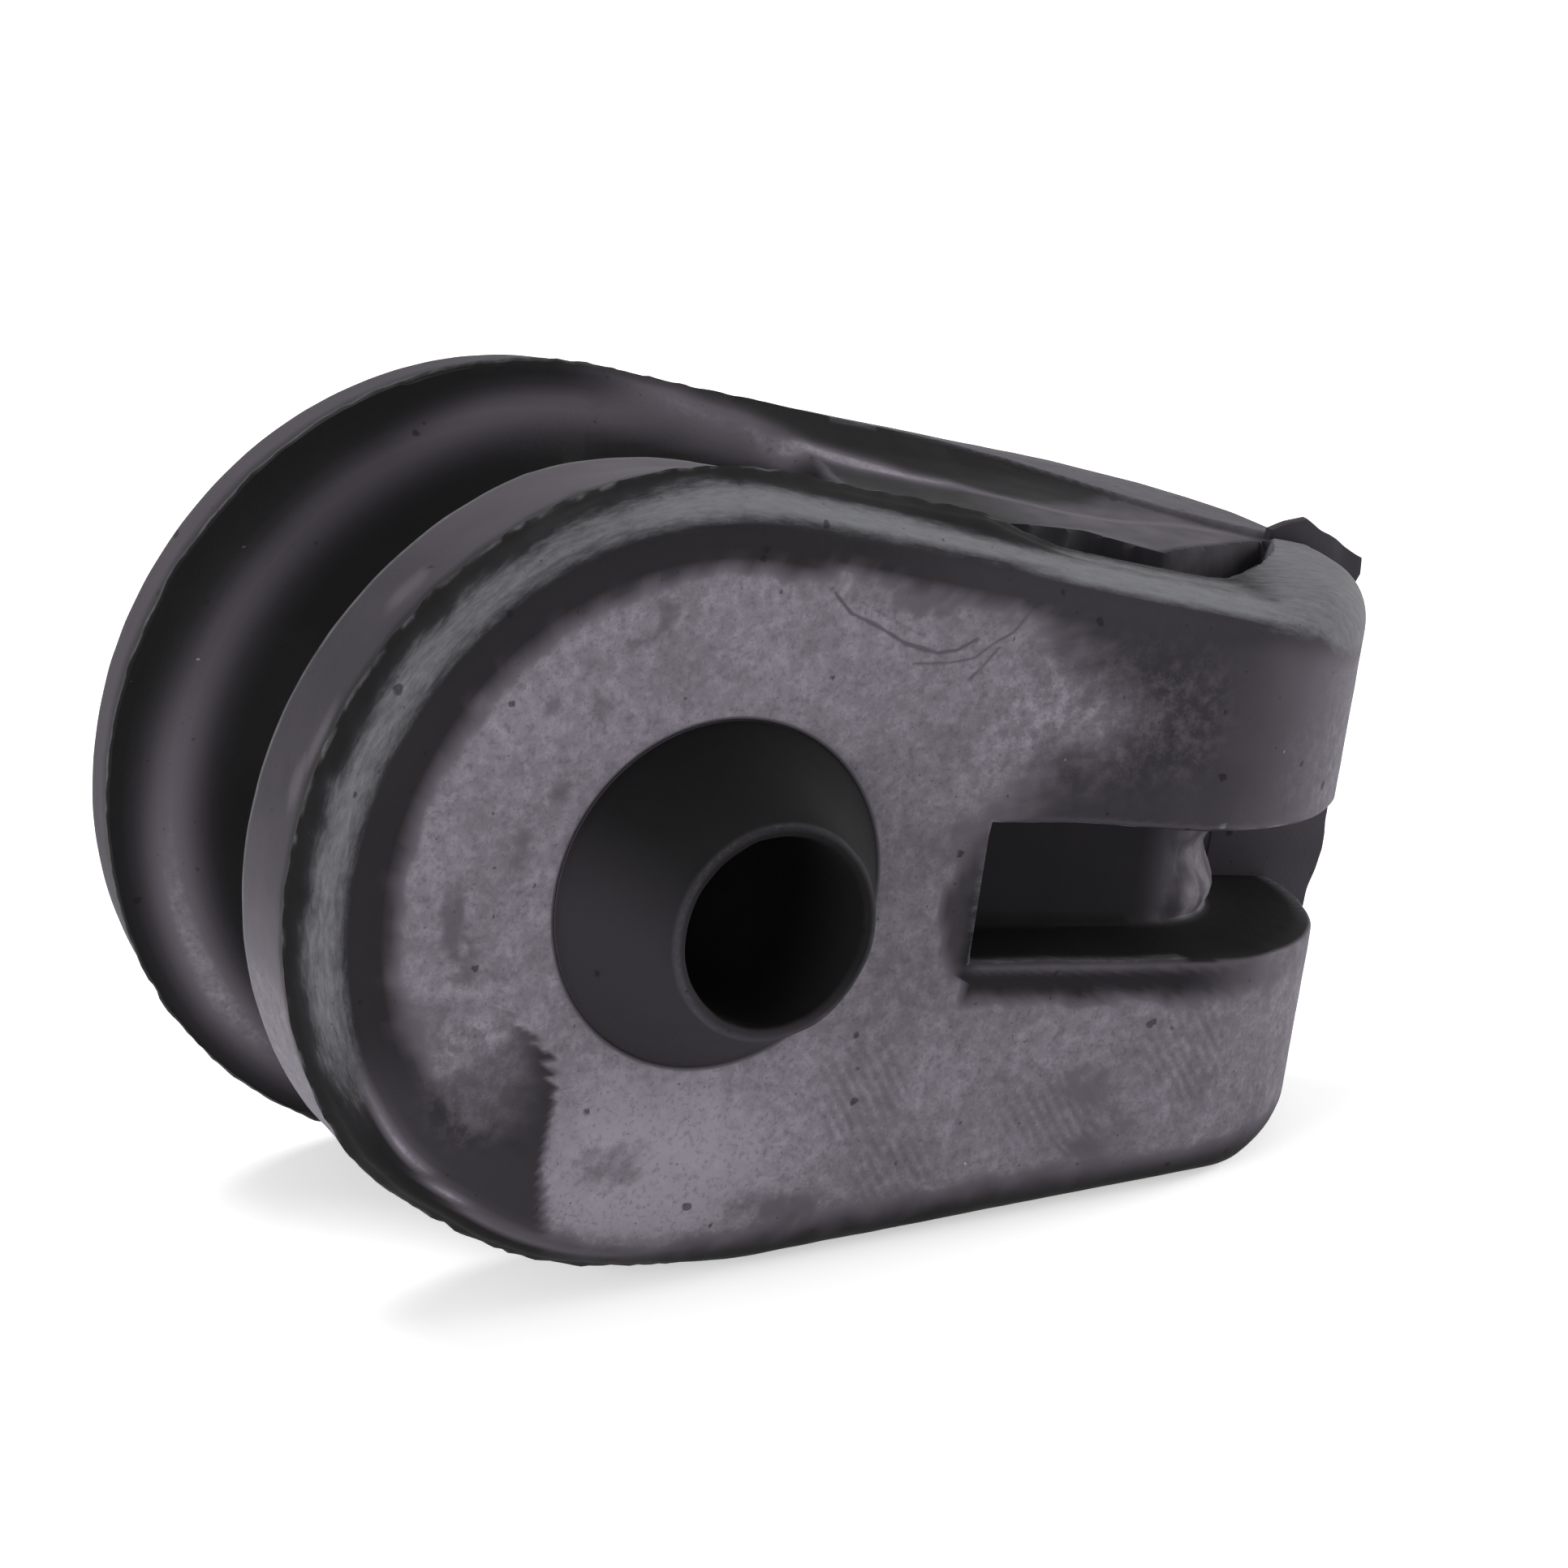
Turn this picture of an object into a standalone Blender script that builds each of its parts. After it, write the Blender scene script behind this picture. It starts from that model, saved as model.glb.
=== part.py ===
"""Rubber exhaust mounting: one moulded piece, resting on its lower flank.

The front face looks along -Y, the round end lies at -X and the slotted nose at +X.
Lengths are millimetres here and become metres in the finished object.
The section is drawn about the centre of the round end, then turned by the half taper
so that the lower flank lies level on the ground.
"""
import math

import bmesh
import bpy
from mathutils import Matrix, Vector

MM = 0.001

# Outline seen from the front
END_R = 25.9            # round end, measured at the front flash line
HALF_TAPER = 0.150      # each flank leans inwards by this angle, radians
END_FLAT = 0.8          # the underside of the round end sits this much flat
FLAT_START_ANGLE = 222.0    # degrees round the round end, from the nose over the top
FLAT_STOP_ANGLE = 291.0
NOSE_X = 37.0           # start of the nose, from the centre of the round end
NOSE_REACH = 17.25      # how far the nose runs on from there
NOSE_CORNER = 3.6       # rounding between a flank and the nose
CROWN = 1.0             # each flank rises again by this much towards the nose

# Across the thickness
THICK = 35.4
SHOULDER_IN = 6.0       # front shoulder, towards the middle of the face
SHOULDER_BACK = 3.4     # front shoulder, back to the flash line
RIM_BACK = 11.0         # back edge of the front rim
RIM_DROP = 0.6
LIP_Y = 29.8            # flash line of the rear flange
LIP_RISE = 0.2
REAR_EDGE_Y = 33.5
REAR_EDGE_DROP = 0.4
REAR_FACE_IN = 4.4

# Deep groove round the end
NECK_R = 13.0
NECK_FRONT = 14.2       # the neck runs level between these two depths
NECK_BACK = 17.5
WALL_FOOT = 4.0         # rounding where the front wall meets the neck
DISH_TOP_Y = 29.0
DISH_TOP_IN = 1.3       # the top of the dish, inside the flash line
DEEP_RUN = 19.6         # how far the deep groove follows each flank
POCKET_RUN = 8.0        # length over which its end rises
POCKET_SLANT = 0.22

# Shallow groove along each flank and round the nose
TRENCH_DEEP = 3.4       # deepest place, just behind the front flange
FRONT_SLOPE = 4.6       # widest slope of the front flange into the trench
FLANK_DISH = 6.5        # width of the dished rear side

# Bore and the cone boss round its mouth
BORE_R = 6.0
BORE_X = 1.4            # the bore sits this far towards the nose
BOSS_FOOT_R = 11.05
BOSS_TIP_R = 6.65
BOSS_OUT = 7.6
BOSS_LIP = 0.3

# Channel that runs from the front face round the nose
CHANNEL_X = 20.4
CHANNEL_HALF = 4.55
CHANNEL_DEEP = 6.5
CHANNEL_END_Y = 17.8
WEB_NOSE_R = 11.2

# Moulding flash left at the nose
FLASH_THICK = 1.0
FLASH_PROUD = 0.2       # how far the skin stands in front of the channel end
FLASH_OUT = 4.05        # how far it stands out past the nose
FLASH_TAB = 1.7         # how far the tab stands over the nose
FLASH_LOW = 11.0        # how far the tongue reaches below the middle

ARC_STEPS = 22
CORNER_STEPS = 5
FLANK_STEPS = 9
NOSE_STEPS = 4

SIN = math.sin(HALF_TAPER)
COS = math.cos(HALF_TAPER)
NOSE_TIP = NOSE_X + NOSE_REACH


def clear_scene():
    for item in list(bpy.data.objects):
        bpy.data.objects.remove(item, do_unlink=True)


def rubber():
    mat = bpy.data.materials.new("rubber")
    mat.use_nodes = True
    shader = mat.node_tree.nodes["Principled BSDF"]
    shader.inputs["Base Color"].default_value = (0.045, 0.043, 0.047, 1.0)
    shader.inputs["Roughness"].default_value = 0.62
    return mat


def add_object(name, mesh_builder):
    """Turn a finished bmesh into an object that faces outwards."""
    bmesh.ops.recalc_face_normals(mesh_builder, faces=mesh_builder.faces)
    mesh = bpy.data.meshes.new(name)
    mesh_builder.to_mesh(mesh)
    mesh_builder.free()
    obj = bpy.data.objects.new(name, mesh)
    bpy.context.scene.collection.objects.link(obj)
    return obj


def as_cutter(obj):
    obj.hide_render = True
    obj.display_type = "WIRE"
    return obj


def skin(name, rings):
    """Join equal rings of points, one after the other, and cap both ends."""
    bm = bmesh.new()
    rows = [[bm.verts.new(Vector(p) * MM) for p in ring] for ring in rings]
    count = len(rows[0])
    for near, far in zip(rows, rows[1:]):
        for i in range(count):
            j = (i + 1) % count
            bm.faces.new((near[i], near[j], far[j], far[i]))
    bm.faces.new(rows[0])
    bm.faces.new(rows[-1])
    return add_object(name, bm)


def smooth(k):
    k = min(1.0, max(0.0, k))
    return k * k * (3 - 2 * k)


def underside(x, y, z):
    """The front flange is pressed a little flat where its end meets the lower flank."""
    turn = math.degrees(math.atan2(z, x)) % 360
    sag = END_FLAT * smooth((turn - FLAT_START_ANGLE) / 20) * smooth((FLAT_STOP_ANGLE - turn) / 22)
    sag *= 1 - smooth((y - RIM_BACK) / (LIP_Y - RIM_BACK))
    reach = math.hypot(x, z)
    keep = (reach - sag) / reach
    return x * keep, z * keep


def half_outline(radius, crown, x_right):
    """Upper half of the outline, from the middle of the nose to the far left."""
    tip_r = radius + crown
    cx = x_right - NOSE_CORNER
    cz = (tip_r - NOSE_CORNER - cx * SIN) / COS
    points = [(x_right, cz * i / NOSE_STEPS) for i in range(NOSE_STEPS)]
    turn = math.pi / 2 - HALF_TAPER
    for i in range(CORNER_STEPS + 1):
        a = turn * i / CORNER_STEPS
        points.append((cx + NOSE_CORNER * math.cos(a), cz + NOSE_CORNER * math.sin(a)))
    start = points[-1]
    end = (radius * SIN, radius * COS)
    for i in range(1, FLANK_STEPS):
        k = i / FLANK_STEPS
        points.append((start[0] + (end[0] - start[0]) * k, start[1] + (end[1] - start[1]) * k))
    sweep = math.pi - turn
    for i in range(ARC_STEPS + 1):
        a = turn + sweep * i / ARC_STEPS
        points.append((radius * math.cos(a), radius * math.sin(a)))
    return points


def outline(y, radius, crown, x_right):
    upper = half_outline(radius, crown, x_right)
    lower = [underside(x, y, -z) for x, z in reversed(upper[1:-1])]
    return [(x, y, z) for x, z in upper + lower]


def nose_at(y):
    """The nose is round when seen from above."""
    half = THICK / 2
    k = (y - half) / half
    return NOSE_X + NOSE_REACH * math.sqrt(max(0.0, 1.0 - k * k))


def make_block():
    """Whole outside form, ring by ring from the front face to the rear face."""
    # depth, how far inside the flash line, how far the flanks rise again at the nose
    stations = []
    for i in range(7):
        a = math.pi / 2 * i / 6
        stations.append((SHOULDER_BACK * (1 - math.cos(a)), SHOULDER_IN * (1 - math.sin(a)), 0.0))
    for k in (0.34, 0.67, 1.0):
        y = SHOULDER_BACK + (RIM_BACK - SHOULDER_BACK) * k
        stations.append((y, RIM_DROP * k, CROWN * k))
    for k, inset, crown in ((0.17, 1.0, 1.0), (0.36, 1.0, 1.0), (0.54, 1.0, 1.0),
                            (0.7, 0.67, 0.8), (0.86, 0.17, 0.4)):
        stations.append((RIM_BACK + (LIP_Y - RIM_BACK) * k, RIM_DROP * inset, CROWN * crown))
    rear_crown = 0.3 * CROWN
    stations.append((LIP_Y, -LIP_RISE, 0.0))
    stations.append(((LIP_Y + REAR_EDGE_Y) / 2, (REAR_EDGE_DROP - LIP_RISE) / 2, rear_crown / 2))
    stations.append((REAR_EDGE_Y, REAR_EDGE_DROP, rear_crown))
    depth = THICK - REAR_EDGE_Y
    for i in range(1, 5):
        a = math.pi / 2 * i / 4
        drop = REAR_EDGE_DROP + (REAR_FACE_IN - REAR_EDGE_DROP) * (1 - math.cos(a))
        stations.append((REAR_EDGE_Y + depth * math.sin(a), drop, rear_crown))
    rings = [outline(y, END_R - inset, crown, nose_at(y)) for y, inset, crown in stations]
    return skin("rubber_body", rings)


def deep_section():
    """Groove section as depth and distance from the centre of the round end."""
    clear = END_R * 1.2
    foot = NECK_FRONT - RIM_BACK
    section = [
        (RIM_BACK - 0.3, clear), (RIM_BACK, END_R - RIM_DROP),
        (RIM_BACK + foot * 0.16, NECK_R + WALL_FOOT), (RIM_BACK + foot * 0.4, NECK_R + WALL_FOOT * 0.4),
        (NECK_FRONT, NECK_R), (NECK_BACK, NECK_R),
    ]
    # the dish, as shares of its depth and of its rise
    for k, rise in ((0.26, 0.08), (0.5, 0.23), (0.7, 0.44), (0.86, 0.68), (0.95, 0.85), (1.0, 1.0)):
        y = NECK_BACK + (DISH_TOP_Y - NECK_BACK) * k
        section.append((y, NECK_R + (END_R - DISH_TOP_IN - NECK_R) * rise))
    section.append((DISH_TOP_Y + (LIP_Y - DISH_TOP_Y) * 0.7, END_R + LIP_RISE + 0.5))
    section.append((LIP_Y, clear))
    return section


def make_deep_groove():
    """The deep groove wraps the round end and ends in a slanted pocket on both flanks."""
    # share of the rise back from the end, how far the section opens, how much it slants
    fade = [(0.0, 0.80, 1.0), (0.1, 0.91, 0.9), (0.28, 0.97, 0.7), (0.56, 1.0, 0.4), (1.0, 1.0, 0.0)]
    section = deep_section()
    run = DEEP_RUN / 4

    def along(x, k, slant, side):
        ring = []
        for y, r in section:
            back = RIM_BACK + (y - RIM_BACK) * k
            lean = POCKET_SLANT * slant * max(0.0, DISH_TOP_Y - 2.0 - back)
            ring.append((x - lean, back, side * r))
        return ring

    rings = [along(DEEP_RUN - POCKET_RUN * back, k, slant, 1) for back, k, slant in fade]
    rings.append(along(run, 1.0, 0.0, 1))
    steps = 36
    for i in range(steps + 1):
        a = math.pi / 2 + math.pi * i / steps
        rings.append([(r * math.cos(a), y, r * math.sin(a)) for y, r in section])
    rings.append(along(run, 1.0, 0.0, -1))
    rings += [along(DEEP_RUN - POCKET_RUN * back, k, slant, -1) for back, k, slant in reversed(fade)]
    return as_cutter(skin("deep_groove_cutter", rings))


def make_flank_groove(side):
    """Shallow groove on a flank, between the front flash line and the rear lip.

    Towards the nose its floor becomes a shelf, and a trench behind the front flange
    follows the nose round until both edges meet.
    """
    # share of the way to the nose; front edge, slope, trench wall and rear edge; both depths
    stations = [
        (0.037, 0.316, 0.087, 0.353, 0.842, 0.471, 0.471),
        (0.092, 0.254, 0.391, 0.339, 0.842, 0.618, 0.618),
        (0.166, 0.169, 0.783, 0.311, 0.842, 0.735, 0.706),
        (0.240, 0.124, 1.000, 0.297, 0.842, 0.794, 0.735),
        (0.369, 0.113, 1.000, 0.282, 0.842, 0.882, 0.765),
        (0.479, 0.113, 0.870, 0.282, 0.839, 0.941, 0.676),
        (0.571, 0.113, 0.652, 0.319, 0.825, 1.000, 0.559),
        (0.645, 0.116, 0.522, 0.311, 0.780, 1.000, 0.471),
        (0.719, 0.141, 0.435, 0.316, 0.684, 1.000, 0.412),
        (0.793, 0.237, 0.348, 0.395, 0.588, 0.941, 0.324),
        (0.857, 0.339, 0.261, 0.469, 0.545, 0.824, 0.265),
        (0.903, 0.441, 0.152, 0.514, 0.537, 0.647, 0.176),
        (0.929, 0.486, 0.087, 0.517, 0.534, 0.412, 0.147),
    ]
    up = 0.4 * TRENCH_DEEP
    rings = []
    for along, front, slope, wall, rear, trench, shelf in stations:
        along *= NOSE_TIP
        front, wall, rear = front * THICK, wall * THICK, rear * THICK
        slope *= FRONT_SLOPE
        trench *= TRENCH_DEEP
        shelf *= TRENCH_DEEP
        dish = min(FLANK_DISH, 0.8 * (rear - wall))
        section = [
            (front - slope * up / trench, up), (front, 0.0),
            (front + slope * 0.55, -0.72 * trench), (front + slope, -trench),
            (wall - 0.1 * TRENCH_DEEP, -trench), (wall, -shelf), (rear - dish, -shelf),
            (rear - dish * 0.62, -0.84 * shelf), (rear - dish * 0.28, -0.5 * shelf),
            (rear, 0.1), (rear + dish * 0.3, up),
        ]
        ring = []
        for y, h in section:
            point = (END_R + h) * Vector((SIN, COS)) + (along - END_R * SIN) * Vector((COS, -SIN))
            ring.append((point.x, y, side * point.y))
        rings.append(ring)
    return as_cutter(skin("flank_groove_cutter", rings))


def turned(name, profile, steps, x_axis):
    """Solid turned about the bore axis from (radius, y) points; radius 0 closes the ends."""
    bm = bmesh.new()
    rows = []
    for r, y in profile:
        if r == 0.0:
            rows.append([bm.verts.new(Vector((x_axis, y, 0.0)) * MM)])
            continue
        row = []
        for i in range(steps):
            a = 2 * math.pi * i / steps
            row.append(bm.verts.new(Vector((x_axis + r * math.cos(a), y, r * math.sin(a))) * MM))
        rows.append(row)
    for near, far in zip(rows, rows[1:]):
        for i in range(steps):
            j = (i + 1) % steps
            if len(near) == 1:
                bm.faces.new((near[0], far[j], far[i]))
            elif len(far) == 1:
                bm.faces.new((near[i], near[j], far[0]))
            else:
                bm.faces.new((near[i], near[j], far[j], far[i]))
    return add_object(name, bm)


def make_boss():
    sunk = SHOULDER_BACK * 0.6
    return turned("cone_boss", [
        (0.0, sunk), (BOSS_FOOT_R, sunk), (BOSS_FOOT_R, 0.0),
        (BOSS_TIP_R + BOSS_LIP, -BOSS_OUT + BOSS_LIP * 1.6), (BOSS_TIP_R, -BOSS_OUT), (0.0, -BOSS_OUT),
    ], 64, BORE_X)


def make_bore():
    return as_cutter(turned("bore_cutter", [
        (0.0, -BOSS_OUT - 2.0), (BORE_R, -BOSS_OUT - 2.0), (BORE_R, THICK + 2.0), (0.0, THICK + 2.0),
    ], 64, BORE_X))


def make_channel():
    """The channel keeps its depth along the front face and round the nose."""
    before = -BOSS_OUT - 2.0
    beyond = NOSE_X + 2.0 * NOSE_REACH
    path = [(CHANNEL_X, before), (CHANNEL_X, CHANNEL_DEEP)]
    steps = 12
    for i in range(steps + 1):
        a = -math.pi / 2 + math.pi / 2 * i / steps
        path.append((NOSE_X + WEB_NOSE_R * math.cos(a),
                     CHANNEL_END_Y + (CHANNEL_END_Y - CHANNEL_DEEP) * math.sin(a)))
    path += [(beyond, CHANNEL_END_Y), (beyond, before)]
    rings = [[(x, y, z) for x, y in path] for z in (-CHANNEL_HALF, CHANNEL_HALF)]
    return as_cutter(skin("channel_cutter", rings))


def make_flash():
    """Thin ragged skin at the parting plane: a torn tab on top and a tongue in the slot."""
    corner = END_R - NOSE_CORNER - (NOSE_TIP - NOSE_CORNER) * SIN
    top = corner / COS + NOSE_CORNER + FLASH_TAB
    # shares of the reach past the nose, and of the height or of the drop
    tab = [
        (-2.04, 0.84), (-1.15, 0.97), (-0.85, 0.99), (-0.48, 1.00), (0.11, 0.94), (0.75, 0.88),
        (0.78, 0.82), (0.43, 0.69), (0.26, 0.50), (0.33, 0.32), (0.78, 0.19), (0.98, 0.03),
    ]
    tongue = [
        (1.00, 0.01), (0.98, 0.25), (0.88, 0.45), (0.78, 0.65), (0.33, 0.86), (-0.31, 1.00),
        (-2.04, 1.00),
    ]
    edge = [(NOSE_TIP + FLASH_OUT * x, top * z) for x, z in tab]
    edge += [(NOSE_TIP + FLASH_OUT * x, -FLASH_LOW * z) for x, z in tongue]
    rings = []
    front = CHANNEL_END_Y - FLASH_PROUD
    for y in (front, front + FLASH_THICK):
        rings.append([(x, y, z) for x, z in edge])
    return skin("flash_skin", rings)


def combine(target, tool, operation):
    step = target.modifiers.new(tool.name, "BOOLEAN")
    step.operation = operation
    step.solver = "EXACT"
    step.object = tool
    bpy.context.view_layer.update()
    graph = bpy.context.evaluated_depsgraph_get()
    mesh = bpy.data.meshes.new_from_object(target.evaluated_get(graph))
    target.modifiers.clear()
    target.data = mesh
    bpy.data.objects.remove(tool, do_unlink=True)


def settle(obj):
    """Turn the part onto its lower flank and stand it over the origin."""
    obj.data.transform(Matrix.Rotation(HALF_TAPER, 4, "Y"))
    xs = [v.co.x for v in obj.data.vertices]
    ys = [v.co.y for v in obj.data.vertices]
    zs = [v.co.z for v in obj.data.vertices]
    middle = Vector(((min(xs) + max(xs)) / 2, (min(ys) + max(ys)) / 2, min(zs)))
    obj.data.transform(Matrix.Translation(-middle))
    return middle


def tidy(obj):
    bm = bmesh.new()
    bm.from_mesh(obj.data)
    bmesh.ops.remove_doubles(bm, verts=bm.verts, dist=0.000004)
    bmesh.ops.dissolve_degenerate(bm, edges=bm.edges, dist=0.000002)
    bmesh.ops.triangulate(bm, faces=bm.faces)
    bmesh.ops.recalc_face_normals(bm, faces=bm.faces)
    bm.to_mesh(obj.data)
    bm.free()


def main():
    clear_scene()
    body = make_block()
    combine(body, make_deep_groove(), "DIFFERENCE")
    combine(body, make_flank_groove(1), "DIFFERENCE")
    combine(body, make_flank_groove(-1), "DIFFERENCE")
    combine(body, make_boss(), "UNION")
    combine(body, make_bore(), "DIFFERENCE")
    combine(body, make_channel(), "DIFFERENCE")
    combine(body, make_flash(), "UNION")
    tidy(body)
    middle = settle(body)
    body.data.name = "rubber_body"
    body.data.materials.clear()
    body.data.materials.append(rubber())
    body.data.shade_smooth()
    body.data.set_sharp_from_angle(angle=math.radians(28))
    print("triangles", len(body.data.polygons), "size mm", [round(d / MM, 2) for d in body.dimensions])
    print("section origin after settling, mm", [round(c / MM, 3) for c in -middle])


main()
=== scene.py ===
# %% [markdown]
# # Rubber exhaust mounting
# A car's exhaust hangs in blocks of rubber like this one. It is moulded in one piece: a thick
# round end with a bore for the hanger pin, and a nose with a channel that grips the bracket.
# Between its two flanges runs a deep groove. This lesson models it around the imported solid,
# which is loaded first and gives the place and the outer size.

# %% Load the frame
from itertools import accumulate
from math import atan2, cos, degrees, exp, hypot, pi, radians, sin, sqrt

import bmesh
import bpy
from mathutils import Matrix, Vector, noise


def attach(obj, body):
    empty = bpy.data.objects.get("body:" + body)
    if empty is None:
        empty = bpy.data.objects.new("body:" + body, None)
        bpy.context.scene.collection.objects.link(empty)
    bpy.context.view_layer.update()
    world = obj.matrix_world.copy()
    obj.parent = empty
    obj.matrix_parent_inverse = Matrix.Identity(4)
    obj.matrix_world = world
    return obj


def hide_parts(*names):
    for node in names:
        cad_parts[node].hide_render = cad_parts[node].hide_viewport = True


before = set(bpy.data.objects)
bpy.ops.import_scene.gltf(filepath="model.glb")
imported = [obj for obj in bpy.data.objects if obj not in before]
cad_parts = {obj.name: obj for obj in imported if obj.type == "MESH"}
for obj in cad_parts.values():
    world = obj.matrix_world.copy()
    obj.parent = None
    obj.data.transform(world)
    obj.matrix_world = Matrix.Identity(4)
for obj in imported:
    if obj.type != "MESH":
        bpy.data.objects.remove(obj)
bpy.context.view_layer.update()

# %% [markdown]
# ## The drawing frame
# The block is drawn in millimetres about the centre of its round end, with the front face at
# y = 0 and the nose along +x. The part lies on one flank, so one matrix turns everything by
# the half taper at the end and moves it to where the solid stands.

# %% Drawing frame
MM = 0.001
HALF_TAPER = 0.150
SIN, COS = sin(HALF_TAPER), cos(HALF_TAPER)
END_R = 25.9
THICK = 35.4
MID_Y = THICK / 2
ORIGIN = Vector((-16.6, -13.9, 26.3))
TO_ROW = (Matrix.Scale(MM, 4) @ Matrix.Translation(ORIGIN) @ Matrix.Rotation(HALF_TAPER, 4, "Y"))


def smooth(k):
    """0 below 0, 1 above 1, and an even ramp between."""
    k = min(1.0, max(0.0, k))
    return k * k * (3 - 2 * k)


def rise(value, start, width):
    """0 up to the start, and 1 from start + width on."""
    return smooth((value - start) / width)


def fall(value, start, width):
    return 1 - rise(value, start, width)


def mix(a, b, k):
    return a + (b - a) * k


def soft_min(a, b, blend):
    """The smaller of two values, with the corner between them rounded."""
    k = min(1.0, max(0.0, 0.5 + 0.5 * (b - a) / blend))
    return mix(b, a, k) - blend * k * (1 - k)


def on_arc(x, z):
    """Whether a point belongs to the round end, and not to a flank."""
    return x * COS <= abs(z) * SIN


def turn_at(x, z):
    """Angle round the round end in degrees, from the nose over the top."""
    return degrees(atan2(z, x)) % 360


def along_flank(x, z):
    """Place along a flank, 0 where it leaves the round end."""
    return x * COS - abs(z) * SIN + END_R * SIN


def inset_at(x, z):
    """How far a point lies inside the plain outline."""
    return END_R - (hypot(x, z) if on_arc(x, z) else x * SIN + abs(z) * COS)


def ripple(x, y, z, size, seed=0):
    """Smooth noise from -1 to 1 with waves of about this size in millimetres."""
    return noise.noise(Vector((x / size + seed, y / size - seed, z / size + 2 * seed)))


def along_table(table, x):
    """Straight-line values between the rows of a small table whose first column is x."""
    if x <= table[0][0]:
        return table[0][1:]
    for low, high in zip(table, table[1:]):
        if x <= high[0]:
            k = (x - low[0]) / (high[0] - low[0])
            return tuple(mix(a, b, k) for a, b in zip(low[1:], high[1:]))
    return table[-1][1:]


print("drawing frame set, round end radius", END_R, "mm")

# %% [markdown]
# ## The outline as evenly counted points
# Seen from the front, half of the outline is: the flat of the nose, a rounded corner, a
# leaning flank and half of the round end. Each stretch has a fixed count of points, so point
# number i sits at the same kind of place on every ring, and rings can be extruded one into
# the next. The flank has more points where the deep groove ends.

# %% Outline points
NOSE_COUNT, CORNER_COUNT, FLANK_COUNT, ARC_COUNT = 30, 12, 104, 84
NOSE_CORNER = 3.6
NOSE_X, NOSE_REACH = 37.0, 17.25


# places along the flank from the nose, packed closer where the pocket ends
even = [50.0 * (1 - (i + 0.5) / FLANK_COUNT) for i in range(FLANK_COUNT)]
runs = list(accumulate(0.45 if 12 < x < 22 else 1.0 for x in even))
FLANK_SHARES = [run / runs[-1] for run in runs]


def nose_at(y):
    """The nose is round when seen from above."""
    k = (y - MID_Y) / MID_Y
    return NOSE_X + NOSE_REACH * sqrt(max(0.0, 1.0 - k * k))


def half_outline(y, inset, crown):
    """Upper half of the outline at depth y, from the middle of the nose to the far left."""
    radius = END_R - inset
    right = nose_at(y)
    cx = right - NOSE_CORNER
    cz = (radius + crown - NOSE_CORNER - cx * SIN) / COS
    turn = pi / 2 - HALF_TAPER
    points = [(right, cz * i / NOSE_COUNT) for i in range(NOSE_COUNT)]
    for i in range(CORNER_COUNT):
        a = turn * i / CORNER_COUNT
        points.append((cx + NOSE_CORNER * cos(a), cz + NOSE_CORNER * sin(a)))
    start = (cx + NOSE_CORNER * cos(turn), cz + NOSE_CORNER * sin(turn))
    end = (radius * SIN, radius * COS)
    points.append(start)
    for share in FLANK_SHARES[:-1]:
        points.append((mix(start[0], end[0], share), mix(start[1], end[1], share)))
    for i in range(ARC_COUNT + 1):
        a = mix(turn, pi, i / ARC_COUNT)
        points.append((radius * cos(a), radius * sin(a)))
    return points


def full_outline(y, inset, crown=0.0):
    upper = half_outline(y, inset, crown)
    return upper + [(x, -z) for x, z in reversed(upper[1:-1])]


RING_COUNT = len(full_outline(0.0, 0.0))
print("points on each ring", RING_COUNT)

# %% [markdown]
# ## The grooves as depths
# A mould with side cores leaves the deep groove between the flanges. Round the round end its
# section is a neck with a sharp front wall and a long dished rear wall. On each flank it ends
# in a pocket, and a shallow groove goes on to the nose: a trench behind the front flange, and
# a shelf behind it. Both are written as a depth below the outline, so one mesh carries them.

# %% Deep groove section
NECK_R = 13.0
DEEP_SECTION = [
    (10.85, 26.6), (11.05, 25), (11.3, 20.5), (11.6, 16.8), (12, 15.2), (12.6, 14.2),
    (13.3, 13.4), (14.2, NECK_R), (17.5, NECK_R), (19.2, 13.3), (20.6, 13.95), (22.0, 14.8),
    (23.4, 15.85), (24.6, 17), (25.6, 18.2), (26.6, 19.6), (27.5, 21.1), (28.2, 22.5),
    (28.8, 23.9), (29.2, 24.9), (29.55, 26.6),
]
POCKET_RISE = 3.0
# where the pocket ends on the flank: depth, x
POCKET_EDGE = [(11.0, 15.4), (17.0, 17.0), (20.5, 18.0), (24.5, 19.0), (27.0, 19.0)]


def deep_radius(y):
    """Distance from the centre to the floor of the deep groove, or None outside it."""
    if y <= DEEP_SECTION[0][0] or y >= DEEP_SECTION[-1][0]:
        return None
    return along_table(DEEP_SECTION, y)[0]


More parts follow.
